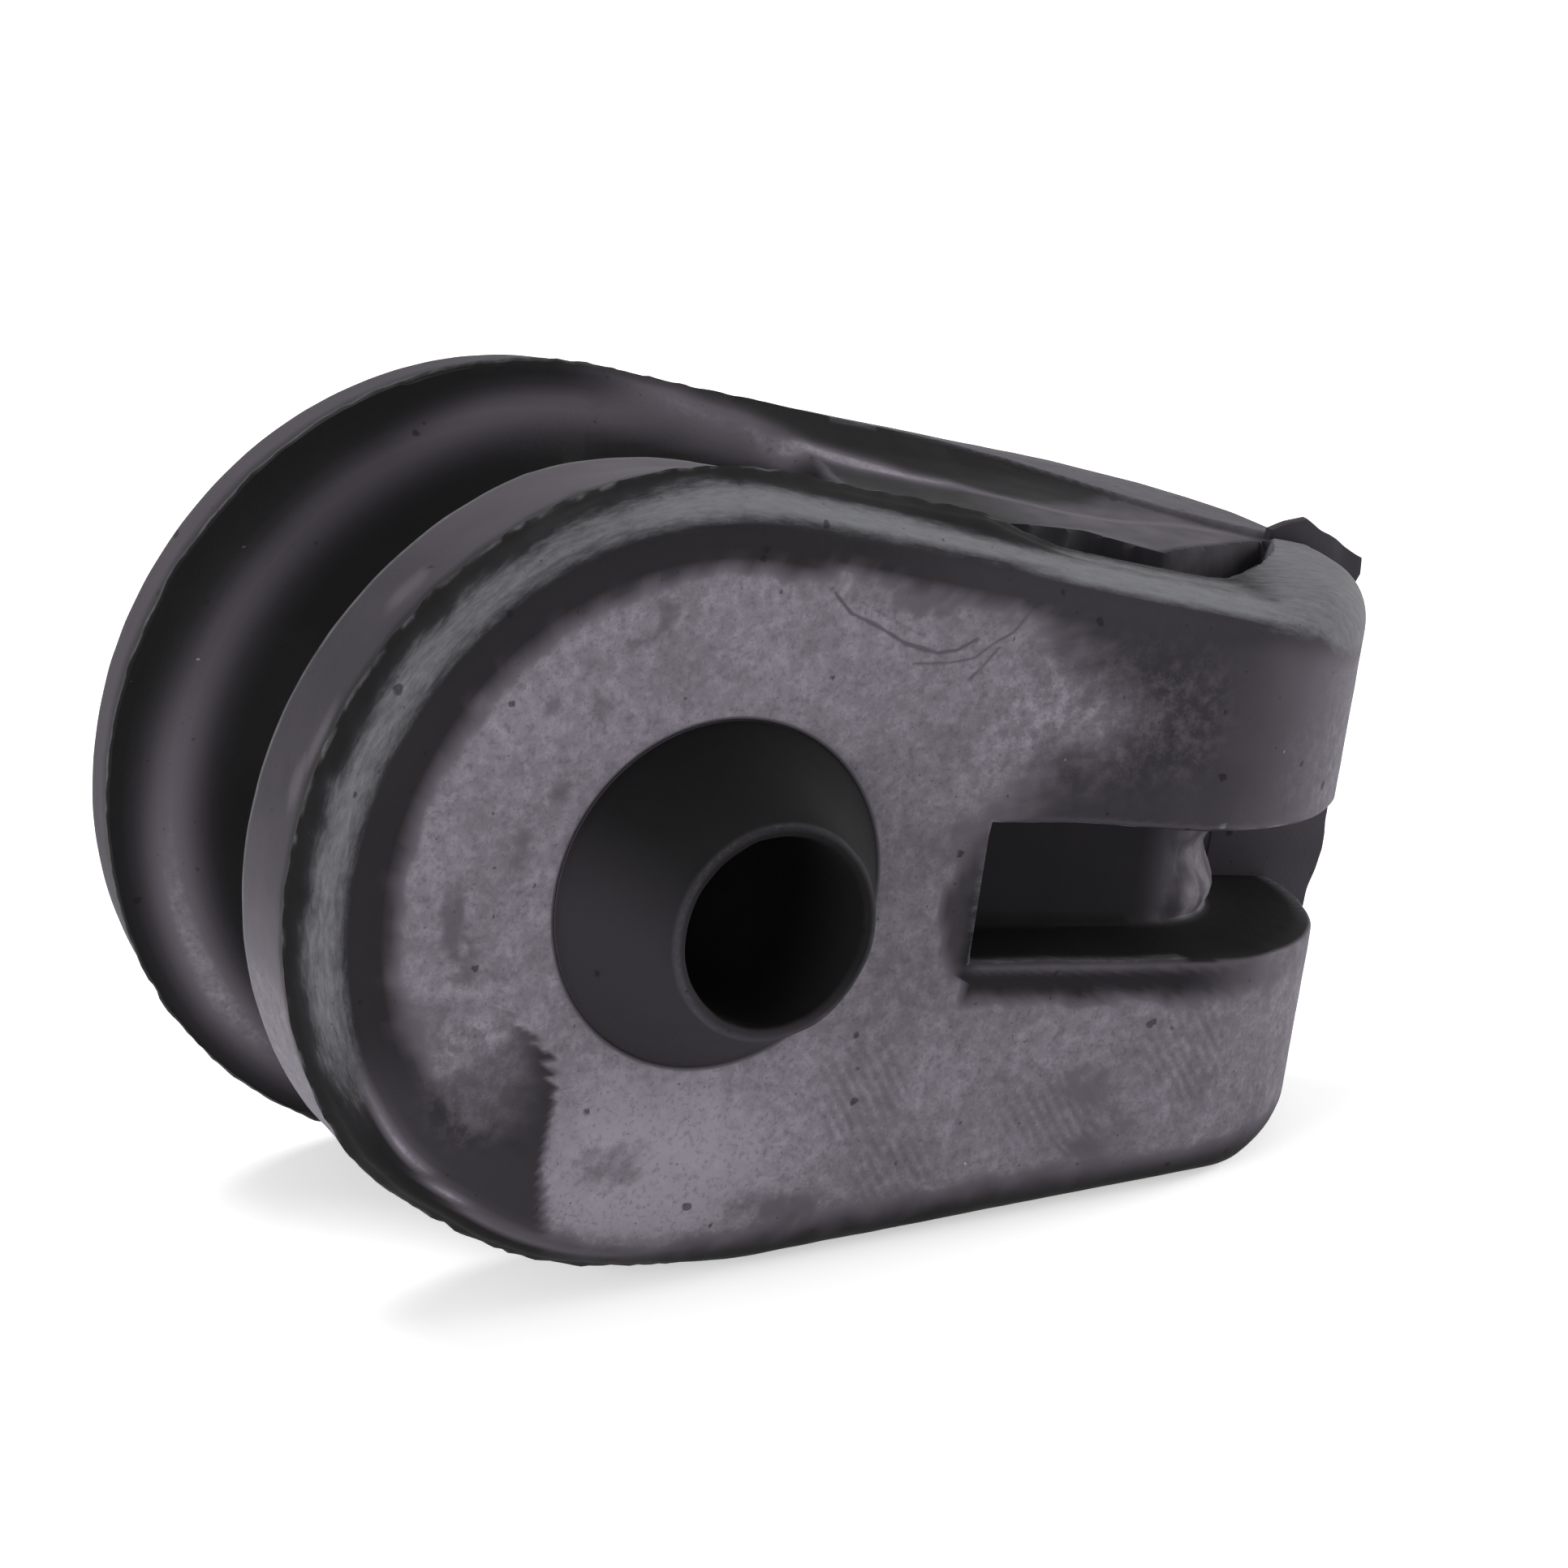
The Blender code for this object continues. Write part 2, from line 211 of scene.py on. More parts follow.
# along the flank: front edge, front slope, trench wall, rear edge, and the depths of the
# trench, of the top of its wall and of the shelf
FLANK_TABLE = [
    (-9, 3.4, 7.6, 11.6, 29.8, 0.66, 0.5, 0.4), (-6, 3.4, 7.6, 11.6, 29.8, 0.92, 0.7, 0.6),
    (-3, 3.4, 7.5, 11.8, 29.8, 1.2, 1, 0.9), (2, 3.4, 7.4, 12, 29.8, 1.55, 1.6, 1.6),
    (5, 3.5, 7.2, 12.2, 29.8, 1.55, 2, 2), (9, 3.6, 6.8, 12, 29.8, 1.7, 2.4, 2.4),
    (13, 3.7, 5.8, 11.4, 29.8, 2.5, 2.5, 2.5), (17, 3.7, 5.2, 10.8, 29.8, 2.9, 2.5, 2.5),
    (22, 3.8, 4.6, 10.2, 29.8, 3.1, 1.7, 2.4), (26, 3.9, 4.1, 10.2, 29.7, 3.2, 1.1, 2.1),
    (31, 4, 3, 10.8, 29.2, 3.4, 0.85, 1.5), (35, 4.1, 2.4, 10.2, 27.6, 3.4, 1.05, 1.15),
    (37, 4.4, 2.2, 10.1, 26, 3.4, 1.15, 1), (39, 5.2, 2, 11, 24.2, 3.4, 0.7, 0.75),
    (43, 8.2, 1.6, 12.9, 20.8, 3.2, 0.3, 0.4), (46, 11.6, 1.1, 15.2, 19.2, 2.6, 0.2, 0.3),
    (48, 14.6, 0.6, 16.4, 18.6, 1.8, 0.1, 0.2), (49.2, 16.4, 0.3, 17.2, 18.2, 0.9, 0.1, 0.1),
    (50, 17.4, 0.2, 17.8, 18.2, 0, 0, 0),
]


def flank_depth(along, y):
    """Depth of the shallow groove at this place along the flank; 0 or less is outside it."""
    front, slope, wall, rear, trench, edge, shelf = along_table(FLANK_TABLE, along)
    width = max(0.1, rear - wall)
    dish = min(6.5, 0.7 * width)
    section = [
        (front - 1.0, -1.0), (front, 0.0), (front + slope * 0.55, 0.72 * trench),
        (front + slope, trench), (wall - 0.35, trench), (wall, edge),
        (wall + 0.2 * width, shelf), (rear - dish, shelf),
        (rear - dish * 0.62, 0.84 * shelf), (rear - dish * 0.28, 0.5 * shelf),
        (rear, 0.0), (rear + 1.0, -1.0),
    ]
    return along_table(section, y)[0]


print("neck radius", NECK_R, "mm, deepest trench", max(row[5] for row in FLANK_TABLE), "mm")

# %% [markdown]
# ## From an outline point to the real surface
# Each point of a ring starts on the plain outline and sinks into whichever groove is deeper
# there: on the round end towards the centre, and on the flanks towards the middle plane.
# Small waves stand for what a side core does: it leaves a ragged flash line, and the rubber
# beside it is never quite true.

# %% Surface point
FRONT_Y, REAR_Y = 3.4, 29.8
RIM_BACK, RIM_DROP = 11.0, 0.6


def underside(x, y, z):
    """The front flange is pressed a little flat where its end meets the lower flank."""
    turn = turn_at(x, z)
    sag = 0.8 * rise(turn, 222, 20) * smooth((291 - turn) / 22)
    sag *= fall(y, RIM_BACK, REAR_Y - RIM_BACK)
    keep = 1 - sag / hypot(x, z)
    return x * keep, z * keep


def settled(x, y, z):
    """The front flange has settled a little where it runs out to the nose over the top."""
    if z <= 0 or x < 15:
        return z
    along = along_flank(x, z)
    sag = 1.3 * rise(along, 17, 9) * fall(along, 38, 8)
    return z - sag * rise(y, 0.5, 2.6) * fall(y, 8, 6)


def sunk(x, y, z):
    """The outline point moved down into the grooves."""
    side = 1 if z >= 0 else -1
    along = along_flank(x, z)
    deep = deep_radius(y)
    if on_arc(x, z):
        reach = hypot(x, z)
        floor = reach
        if FRONT_Y < y < REAR_Y and along > -9.0:
            floor = min(floor, END_R - max(0.0, flank_depth(along, y)))
        if deep is not None:
            floor = min(floor, deep)
        return x * floor / reach, z * floor / reach
    height = abs(z)
    shallow = flank_depth(along, y)
    if shallow > -1.0:
        height = min(height, (END_R - shallow - x * SIN) / COS)
    if deep is not None:
        stop = along_table(POCKET_EDGE, y)[0]
        k = smooth((x - stop + POCKET_RISE) / POCKET_RISE)
        if k < 1.0:
            height = mix(soft_min(deep, height, 0.7), height, k)
    return x, side * height


def flash_line(x, y, z, line, width):
    """How strongly a moulding line at depth `line` shows here, from 0 to 1."""
    wander = 0.35 * ripple(x, 0, z, 4, 3) + 0.12 * ripple(x, 0, z, 1.2, 5)
    return exp(-((y - line - wander) / width) ** 2)


def raised(x, y, z):
    """Ragged moulding lines and slight unevenness, moved outwards from the centre."""
    reach = hypot(x, z)
    out = 0.05 * ripple(x, y, z, 6) + 0.03 * ripple(x, y, z, 1.8, 2)
    rag = 0.5 + 0.5 * ripple(x, 0, z, 1.5, 7) + 0.3 * ripple(x, 0, z, 0.7, 9)
    along = along_flank(x, z)
    front = along_table(FLANK_TABLE, along)[0] if along > 0 else FRONT_Y
    out += 0.34 * rag * flash_line(x, y, z, front, 0.32)
    out -= 0.14 * flash_line(x, y, z, front - 0.75, 0.35)
    fade = fall(along, 14, 8)
    out += fade * (0.28 * rag * flash_line(x, y, z, REAR_Y, 0.32)
                   + 0.05 * flash_line(x, y, z, REAR_Y - 1.5, 0.22))
    keep = 1 + out / max(1.0, reach)
    return x * keep, z * keep


# %% [markdown]
# ## The rings
# The skin is one closed tube of rings: from the bore's rear mouth over the rear face, across
# the groove to the front face, up the cone round the bore, and back through it, closer where
# the section turns sharply. Each entry holds a depth, how far the ring lies inside the flash
# line, and how much the flanks rise towards the nose.

# %% Ring stations
SHOULDER_IN, SHOULDER_BACK = 6.0, 3.4
REAR_EDGE_Y, REAR_EDGE_DROP, REAR_FACE_IN = 33.5, 0.4, 4.4


def spread(low, high, count):
    """Evenly spaced values after low, up to and with high."""
    return [mix(low, high, (i + 1) / count) for i in range(count)]


rear_stations = []
for i in range(9):
    a = pi / 2 * (1 - i / 8)
    drop = REAR_EDGE_DROP + (REAR_FACE_IN - REAR_EDGE_DROP) * (1 - cos(a))
    rear_stations.append((REAR_EDGE_Y + (THICK - REAR_EDGE_Y) * sin(a), drop, 0.3))
for y in spread(REAR_EDGE_Y, REAR_Y, 10):
    k = (REAR_EDGE_Y - y) / (REAR_EDGE_Y - REAR_Y)
    rear_stations.append((y, mix(REAR_EDGE_DROP, -0.2, k), 0.3 * (1 - k)))

# depths of the rings across the groove, on the round end and on the flanks
round_end_y, last = [], REAR_Y
for stop, count in ((28.8, 6), (24.0, 16), (17.5, 14), (14.2, 4), (12.0, 6), (11.0, 12),
                    (10.6, 2), (4.2, 13), (FRONT_Y, 4)):
    round_end_y += spread(last, stop, count)
    last = stop
flank_y = spread(REAR_Y, FRONT_Y, len(round_end_y))

front_stations = []
for i in range(1, 15):
    a = pi / 2 * (1 - i / 14)
    back, drop = SHOULDER_BACK * (1 - cos(a)), SHOULDER_IN * (1 - sin(a))
    front_stations.append((back, drop, 0.0))
print("rings across the groove", len(round_end_y))

# %% Ring makers
CROWN_TABLE = [
    (3.4, 0.0, 0.0), (6.0, 0.2, 0.35), (8.5, 0.4, 0.7), (RIM_BACK, RIM_DROP, 1.0),
    (21.2, RIM_DROP, 1.0), (24.2, 0.4, 0.8), (27.2, 0.1, 0.4), (REAR_Y, -0.2, 0.0),
]


def outline_ring(y, inset, crown):
    ring = []
    for x, z in full_outline(y, inset, crown):
        x, z = underside(x, y, z)
        x, z = raised(x, y, settled(x, y, z))
        ring.append(Vector((x, y, z)))
    return ring


def groove_ring(step):
    """One ring across the groove: each point picks its own depth, then sinks."""
    ring = []
    base = full_outline(MID_Y, 0.0)
    outlines = {}
    for i in range(RING_COUNT):
        share = rise(base[i][0], 17, 8)
        y = mix(round_end_y[step], flank_y[step], share)
        key = round(y, 2)
        if key not in outlines:
            inset, crown = along_table(CROWN_TABLE, key)
            outlines[key] = full_outline(key, inset, crown)
        x, z = outlines[key][i]
        x, z = underside(x, y, z)
        x, z = sunk(x, y, settled(x, y, z))
        x, z = raised(x, y, z)
        ring.append(Vector((x, y, z)))
    return ring


# %% [markdown]
# ## Boss and bore
# The bore for the hanger pin opens in a cone that stands out of the front face, with a thin
# lip of moulding flash round its mouth. Every point of their circles keeps the direction of
# the outline point with the same number, so the lines of the flat face run straight out.

# %% Boss and bore rings
BORE_X, BORE_R = 1.4, 6.0
BOSS_FOOT_R, BOSS_TIP_R, BOSS_OUT = 11.05, 6.65, 7.6
directions = [atan2(z, x - BORE_X) for x, z in full_outline(0.0, SHOULDER_IN)]


def circle_ring(y, radius, waver=0.0):
    ring = []
    for a in directions:
        r = radius + waver * ripple(cos(a) * 9, y, sin(a) * 9, 2.0, 4.0)
        ring.append(Vector((BORE_X + r * cos(a), y, r * sin(a))))
    return ring


def blend_rings(near, far, count):
    """Rings on a flat face between two given ones, neither of them included."""
    return [[a.lerp(b, (i + 1) / (count + 1)) for a, b in zip(near, far)] for i in range(count)]


rings = [circle_ring(THICK - 0.5, BORE_R, 0.03), circle_ring(THICK, BORE_R + 0.45, 0.05)]
rear_rings = [outline_ring(*station) for station in rear_stations]
rings += blend_rings(rings[-1], rear_rings[0], 8) + rear_rings
rings += [groove_ring(step) for step in range(len(round_end_y))]
front_rings = [outline_ring(*station) for station in front_stations]
rings += front_rings
foot = circle_ring(0.0, BOSS_FOOT_R + 0.35)
rings += blend_rings(front_rings[-1], foot, 32) + [foot]
rings.append(circle_ring(0.12, BOSS_FOOT_R + 0.05))
for depth in (0.25, 0.0, -0.5):
    rings.append(circle_ring(depth, mix(BOSS_FOOT_R, BOSS_TIP_R, max(0.0, -depth) / BOSS_OUT)))
for depth in spread(-0.5, -BOSS_OUT + 0.7, 8):
    rings.append(circle_ring(depth, mix(BOSS_FOOT_R, BOSS_TIP_R, -depth / BOSS_OUT), 0.04))
rings += [circle_ring(depth, radius, 0.06) for depth, radius in (
    (-7.15, 6.98), (-7.42, 6.86), (-7.56, 6.62), (-7.6, 6.4), (-7.5, 6.18), (-7.2, 6.04))]
rings += [circle_ring(depth, BORE_R, 0.03) for depth in spread(-6.8, THICK - 1.2, 12)]
print("rings in all", len(rings))

# %% [markdown]
# ## Extruding the skin
# The mesh starts from one circle of edges. Each ring is extruded from the last one, and the
# last is bridged back to the first, so the block is one watertight skin.

# %% Extrude ring by ring
# points this close are welded, and faces this thin are dissolved
WELD, SLIVER = 0.004, 0.003


def loft(rings):
    """Extrude a circle of edges through the rings; gives the mesh and its two end loops."""
    bm = bmesh.new()
    row = bmesh.ops.create_circle(bm, cap_ends=False, segments=len(rings[0]), radius=1.0)["verts"]
    for vert, place in zip(row, rings[0]):
        vert.co = place
    first_edges = edges = list(bm.edges)
    for ring in rings[1:]:
        made = bmesh.ops.extrude_edge_only(bm, edges=edges)["geom"]
        fresh = {item for item in made if isinstance(item, bmesh.types.BMVert)}
        edges = [item for item in made if isinstance(item, bmesh.types.BMEdge)
                 and item.verts[0] in fresh and item.verts[1] in fresh]
        row = [next(e.other_vert(vert) for e in vert.link_edges if e.other_vert(vert) in fresh)
               for vert in row]
        for vert, place in zip(row, ring):
            vert.co = place
    return bm, first_edges, edges


def in_scene(name, data):
    obj = bpy.data.objects.new(name, data)
    bpy.context.scene.collection.objects.link(obj)
    return obj


def new_object(name, bm):
    """Put the drawn form in its place on the frame."""
    bmesh.ops.recalc_face_normals(bm, faces=bm.faces)
    bmesh.ops.transform(bm, matrix=TO_ROW, verts=bm.verts)
    mesh = bpy.data.meshes.new(name)
    bm.to_mesh(mesh)
    bm.free()
    return in_scene(name, mesh)


skin, mouth_edges, last_edges = loft(rings)
bmesh.ops.bridge_loops(skin, edges=mouth_edges + last_edges)
bmesh.ops.remove_doubles(skin, verts=skin.verts, dist=WELD)
bmesh.ops.dissolve_degenerate(skin, edges=skin.edges, dist=SLIVER)
open_edges = sum(1 for edge in skin.edges if not edge.is_manifold)
print("skin faces", len(skin.faces), "open edges", open_edges)

# %% [markdown]
# ## Gouges in the face
# Handling has left a few curved gouges above the slot. The net of the face isn't fine enough
# for them, so its edges near them are subdivided, and the points close to each gouge's line
# are pressed in.

# %% Press in the gouges
GOUGES = [
    # points (x, z) on the face, half width, depth
    ([(6, 19.5), (7.7, 17.9), (9.8, 17.1), (11.8, 16.1), (14.2, 15.5), (15.6, 15.7),
      (16.9, 16.4)], 0.10, 0.09),
    ([(12.6, 14.8), (15.2, 14.9), (16.9, 15.2), (18.2, 16.2), (19.5, 16.9), (20.7, 18.6)],
     0.08, 0.06),
    ([(16.9, 13.9), (17.8, 14.9), (18.6, 15.9)], 0.08, 0.07),
    ([(8.4, 18.6), (11, 17.4), (13.4, 16.4)], 0.07, 0.04),
]


def line_distance(x, z, points):
    """Shortest distance from (x, z) to a line through the points."""
    best = 99.0
    for (ax, az), (bx, bz) in zip(points, points[1:]):
        k = ((x - ax) * (bx - ax) + (z - az) * (bz - az)) / ((bx - ax) ** 2 + (bz - az) ** 2)
        k = min(1.0, max(0.0, k))
        best = min(best, hypot(x - mix(ax, bx, k), z - mix(az, bz, k)))
    return best


def gouge_at(x, z, spare=0.0):
    """Depth of the gouges here, and 0 away from them."""
    depth = 0.0
    for points, half, deep in GOUGES:
        away = line_distance(x, z, points) + 0.08 * ripple(x, 0, z, 0.9, 3)
        depth = max(depth, deep * fall(away, spare, 2.2 * half))
    return depth


def above_slot(place):
    """Whether a point lies on the part of the front face that has the gouges."""
    return -0.2 < place.y < 0.2 and -9 < place.x < 23 and 12 < place.z < 21


def near_gouge(edge):
    middle = (edge.verts[0].co + edge.verts[1].co) / 2
    return above_slot(middle) and gouge_at(middle.x, middle.z, 0.6) > 0


marked = [edge for edge in skin.edges if near_gouge(edge)]
bmesh.ops.subdivide_edges(skin, edges=marked, cuts=2, use_grid_fill=True)
for vert in skin.verts:
    if above_slot(vert.co):
        vert.co.y += gouge_at(vert.co.x, vert.co.z)
block = new_object("moulded_block", skin)
print("faces with the gouges", len(block.data.polygons))

# %% [markdown]
# ## The bracket channel
# The channel is a slot that runs from the front face round the nose to the parting plane.
# Its cutter is a row of cross-sections along that path, extruded one into the next. Each
# opens out near the surface, which leaves a thin edge that catches the light, and its sides
# waver a little. The floor of the slot is the edge of a web, hollow across its width.

# %% Channel cutter
SLOT_X, SLOT_HALF, SLOT_DEEP, SLOT_END_Y = 20.4, 4.55, 6.5, 17.8
WEB_NOSE_R = 9.7
FLARE = 0.32


def droop_at(x):
    """The upper wall sags towards the nose."""
    return 0.55 * rise(x, 24, 14)


def channel_path():
    """Pairs of mouth point and floor point, from the closed end round the nose."""
    pairs = [((x, 0.0), (x, SLOT_DEEP)) for x in spread(SLOT_X, NOSE_X, 22)]
    steps = 34
    for i in range(1, steps + 1):
        a = -pi / 2 + pi / 2 * i / steps
        mouth = (NOSE_X + NOSE_REACH * cos(a), MID_Y + MID_Y * sin(a))
        floor = (NOSE_X + WEB_NOSE_R * cos(a),
                 SLOT_END_Y + (SLOT_END_Y - SLOT_DEEP) * sin(a))
        pairs.append((mouth, floor))
    return pairs


def channel_section(mouth, floor, lean=0.0):
    """Points round one cross-section; lean moves the opening towards the closed end."""
    out = Vector((mouth[0] - floor[0], mouth[1] - floor[1]))
    depth = out.length
    out.normalize()
    x, y = mouth
    high = 0.10 * ripple(x, y, 4, 5, 1) + 0.05 * ripple(x, y, 4, 1.6)
    low = 0.16 * ripple(x, y, -4, 6, 6) + 0.05 * ripple(x, y, -4, 1.6)
    droop = droop_at(x)
    wall = [(-1.2, FLARE + 1.2), (0.0, FLARE), (0.10, 0.16), (FLARE, 0.0), (1.5, -0.02),
            (depth * 0.6, -0.05), (depth - 0.5, -0.1), (depth - 0.12, -0.25)]
    points = [(down, SLOT_HALF + wide - droop + high * (down < 3), wide)
              for down, wide in wall]
    across = 12
    for i in range(across + 1):
        z = (SLOT_HALF - 0.6) * (1 - 2 * i / across)
        hollow = 0.3 * (1 - (z / SLOT_HALF) ** 2) - 0.1 * ripple(x, y, z, 3, 8)
        if x > NOSE_X + 4:
            hollow -= 0.45 * sin(1.1 * z + 4.4)
        points.append((depth + hollow, z - 0.5 * droop * (1 + z / SLOT_HALF), 0.0))
    points += [(down, -SLOT_HALF - wide + low * (down < 3), wide)
               for down, wide in reversed(wall)]
    return [Vector((x - out.x * down - lean * max(0.0, wide), y - out.y * down, z))
            for down, z, wide in points]


sections = [channel_section((SLOT_X, 0.0), (SLOT_X, SLOT_DEEP), 1.0)]
sections += [channel_section(mouth, floor) for mouth, floor in channel_path()]
cutter_mesh, closed_end, open_end = loft(sections)
bmesh.ops.edgeloop_fill(cutter_mesh, edges=closed_end)
bmesh.ops.edgeloop_fill(cutter_mesh, edges=open_end)
channel_cutter = new_object("channel_cutter", cutter_mesh)
print("channel", 2 * SLOT_HALF, "mm wide and", SLOT_DEEP, "mm deep")

# %% Cut the channel
def cut(obj, cutter):
    """Subtract the cutter for good, throw it away, and weld what it left too thin."""
    step = obj.modifiers.new("cut", "BOOLEAN")
    step.operation = "DIFFERENCE"
    step.solver = "EXACT"
    step.object = cutter
    graph = bpy.context.evaluated_depsgraph_get()
    mesh = bpy.data.meshes.new_from_object(obj.evaluated_get(graph))
    obj.modifiers.clear()
    obj.data = mesh
    bpy.data.objects.remove(cutter, do_unlink=True)
    bm = bmesh.new()
    bm.from_mesh(mesh)
    bmesh.ops.remove_doubles(bm, verts=bm.verts, dist=WELD * MM)
    bmesh.ops.dissolve_degenerate(bm, edges=bm.edges, dist=WELD * MM)
    bmesh.ops.triangulate(bm, faces=[face for face in bm.faces if len(face.verts) > 4])
    print("open edges after the cut", sum(1 for edge in bm.edges if not edge.is_manifold))
    bm.to_mesh(mesh)
    bm.free()


cut(block, channel_cutter)
print("faces after cutting the channel", len(block.data.polygons))

# %% [markdown]
# ## Torn flash
# Where the side cores met at the tip of the nose, rubber has squeezed into the parting plane:
# a thin ragged skin with a tab over the top and a tongue inside the slot. A circle of points
# is laid along its torn edge, filled, given its thickness, and puckered.

# %% Flash skin
FLASH_THICK = 0.8
FLASH_EDGE = [
    (49, 14.5), (49.6, 19.4), (50.8, 19.9), (52.3, 20.2), (54.7, 19), (57.3, 17.7),
    (57.4, 16.6), (56, 14), (55.3, 10), (55.6, 6.5), (57.4, 3.8), (58.2, 0.7),
    (58.3, -0.1), (58.2, -2.7), (57.8, -5), (57.4, -7.2), (55.6, -9.5), (52.6, -10.4),
    (49, -8),
]


def torn_edge(corners, step):
    """Points every `step` mm along the corners, pulled about like torn rubber."""
    points = []
    for (ax, az), (bx, bz) in zip(corners, corners[1:] + corners[:1]):
        count = max(1, int(hypot(bx - ax, bz - az) / step))
        for i in range(count):
            x, z = mix(ax, bx, i / count), mix(az, bz, i / count)
            if x > 50.5:
                x += 0.16 * ripple(x, 0, z, 1.6, 2)
                z += 0.12 * ripple(x, 3, z, 1.3, 6)
            points.append((x, z))
    return points


torn = torn_edge(FLASH_EDGE, 0.35)
flash_mesh = bmesh.new()
loop = bmesh.ops.create_circle(flash_mesh, cap_ends=True, segments=len(torn), radius=1.0)["verts"]
front_y = SLOT_END_Y - 0.2
for vert, (x, z) in zip(loop, torn):
    vert.co = (x, front_y, z)
made = bmesh.ops.extrude_face_region(flash_mesh, geom=list(flash_mesh.faces))["geom"]
back = [item for item in made if isinstance(item, bmesh.types.BMVert)]
bmesh.ops.translate(flash_mesh, vec=(0.0, FLASH_THICK, 0.0), verts=back)
rim = [edge for edge in flash_mesh.edges if len(edge.link_faces) == 2
       and abs(edge.verts[0].co.y - edge.verts[1].co.y) < 0.01]
bmesh.ops.bevel(flash_mesh, geom=rim, offset=0.15, segments=2, affect="EDGES", profile=0.5,
                material=-1, clamp_overlap=True)
bmesh.ops.triangulate(flash_mesh, faces=flash_mesh.faces)
for vert in flash_mesh.verts:
    x, y, z = vert.co
    vert.co.y += 0.25 * ripple(x, 0, z, 3, 4) * rise(x, 53.5, 2)
flash = new_object("flash_skin", flash_mesh)
print("flash faces", len(flash.data.polygons))

# %% [markdown]
# ## What each place has been through
# Rubber blooms: waxes dry on it as a grey-violet film, thickest on the open faces. Inside the
# grooves the mould's polish keeps it black. Edges and flash lines are rubbed paler. Shares of
# bloom, wear and polish, and how ragged the film is, are written on the points of the mesh,
# and the material reads them. Painted light and shade ride in the same shares: highlights in
# the dish, along the shelf and on edges and crests, and shade under the nose's top edge, in
# the trench and creases, and where a polish share below 0 turns the reflection off.

# %% Patches on the front face
# centre (x, z), half sizes, how much of the bloom is gone
RUBBED_SPOTS = [
    (-12.6, 2.6, 1.1, 1.6, 0.40), (-16.2, -1.6, 1.2, 2.8, 0.45), (-15, -4.2, 1.1, 1.8, 0.35),
    (-11.9, 11.8, 0.9, 1, 0.35), (-8.6, 11.9, 1, 1, 0.30), (-10.7, 6.6, 1, 1, 0.40),
    (-5.2, 17.6, 0.9, 1.8, 0.45), (-6.6, 15.9, 1.2, 0.6, 0.45),
    (31, -13.2, 3.2, 2.2, 0.3), (34.5, -16.8, 5, 1.8, 0.5), (-3, -17.5, 3, 1.6, 0.5),
    (19.9, -2, 1, 3.6, 0.6), (24, 8, 3, 2, 0.25), (9, -20.5, 4, 1.2, 0.5),
    (15.5, 9.5, 3, 2.2, 0.15), (12.5, 18.9, 5, 1.2, 0.4),
]


def soft(x, y, z, size, seed=0):
    """Cloudy noise from about -1 to 1 with finer noise on top."""
    return (ripple(x, y, z, size, seed) + 0.5 * ripple(x, y, z, size / 2.1, seed + 1)
            + 0.25 * ripple(x, y, z, size / 4.3, seed + 2))


def hump(value, centre, half):
    """1 at the centre, falling to 0 at about twice the half width."""
    return exp(-((value - centre) / half) ** 2)


def smear_edge(z):
    """The dark smear low on the left ends at this x."""
    return along_table([(-22.5, -6.6), (-17, -7.8), (-13, -7.5), (-10, -8.4), (-7.4, -11.6),
                        (-6.2, -15)], z)[0]


def beside_slot(x, z, share):
    """A pale rolled edge along the slot, a painted highlight where the rounded edge catches the
    light, and the smooth dark band under it.
    """
    if x < SLOT_X - 0.6:
        return share
    if z > 0:
        edge = SLOT_HALF + 0.25 - droop_at(x)
        # the upper rolled edge: a painted highlight
        return max(share, hump(z, edge, 0.28) * (0.32 + 0.30 * rise(x, 34, 10)))
    fade = fall(x, 36, 10)
    start = 6.2 + 0.5 * soft(x, 0, z, 2)
    share *= 1 - (0.12 + 0.83 * fade) * fall(-z, start, 1.7)
    # the lower rolled edge: a painted highlight
    roll = hump(-z, SLOT_HALF + 0.35, 0.34)
    return max(share, roll * (0.42 + 0.10 * soft(x, 0, z, 1.5, 3)))


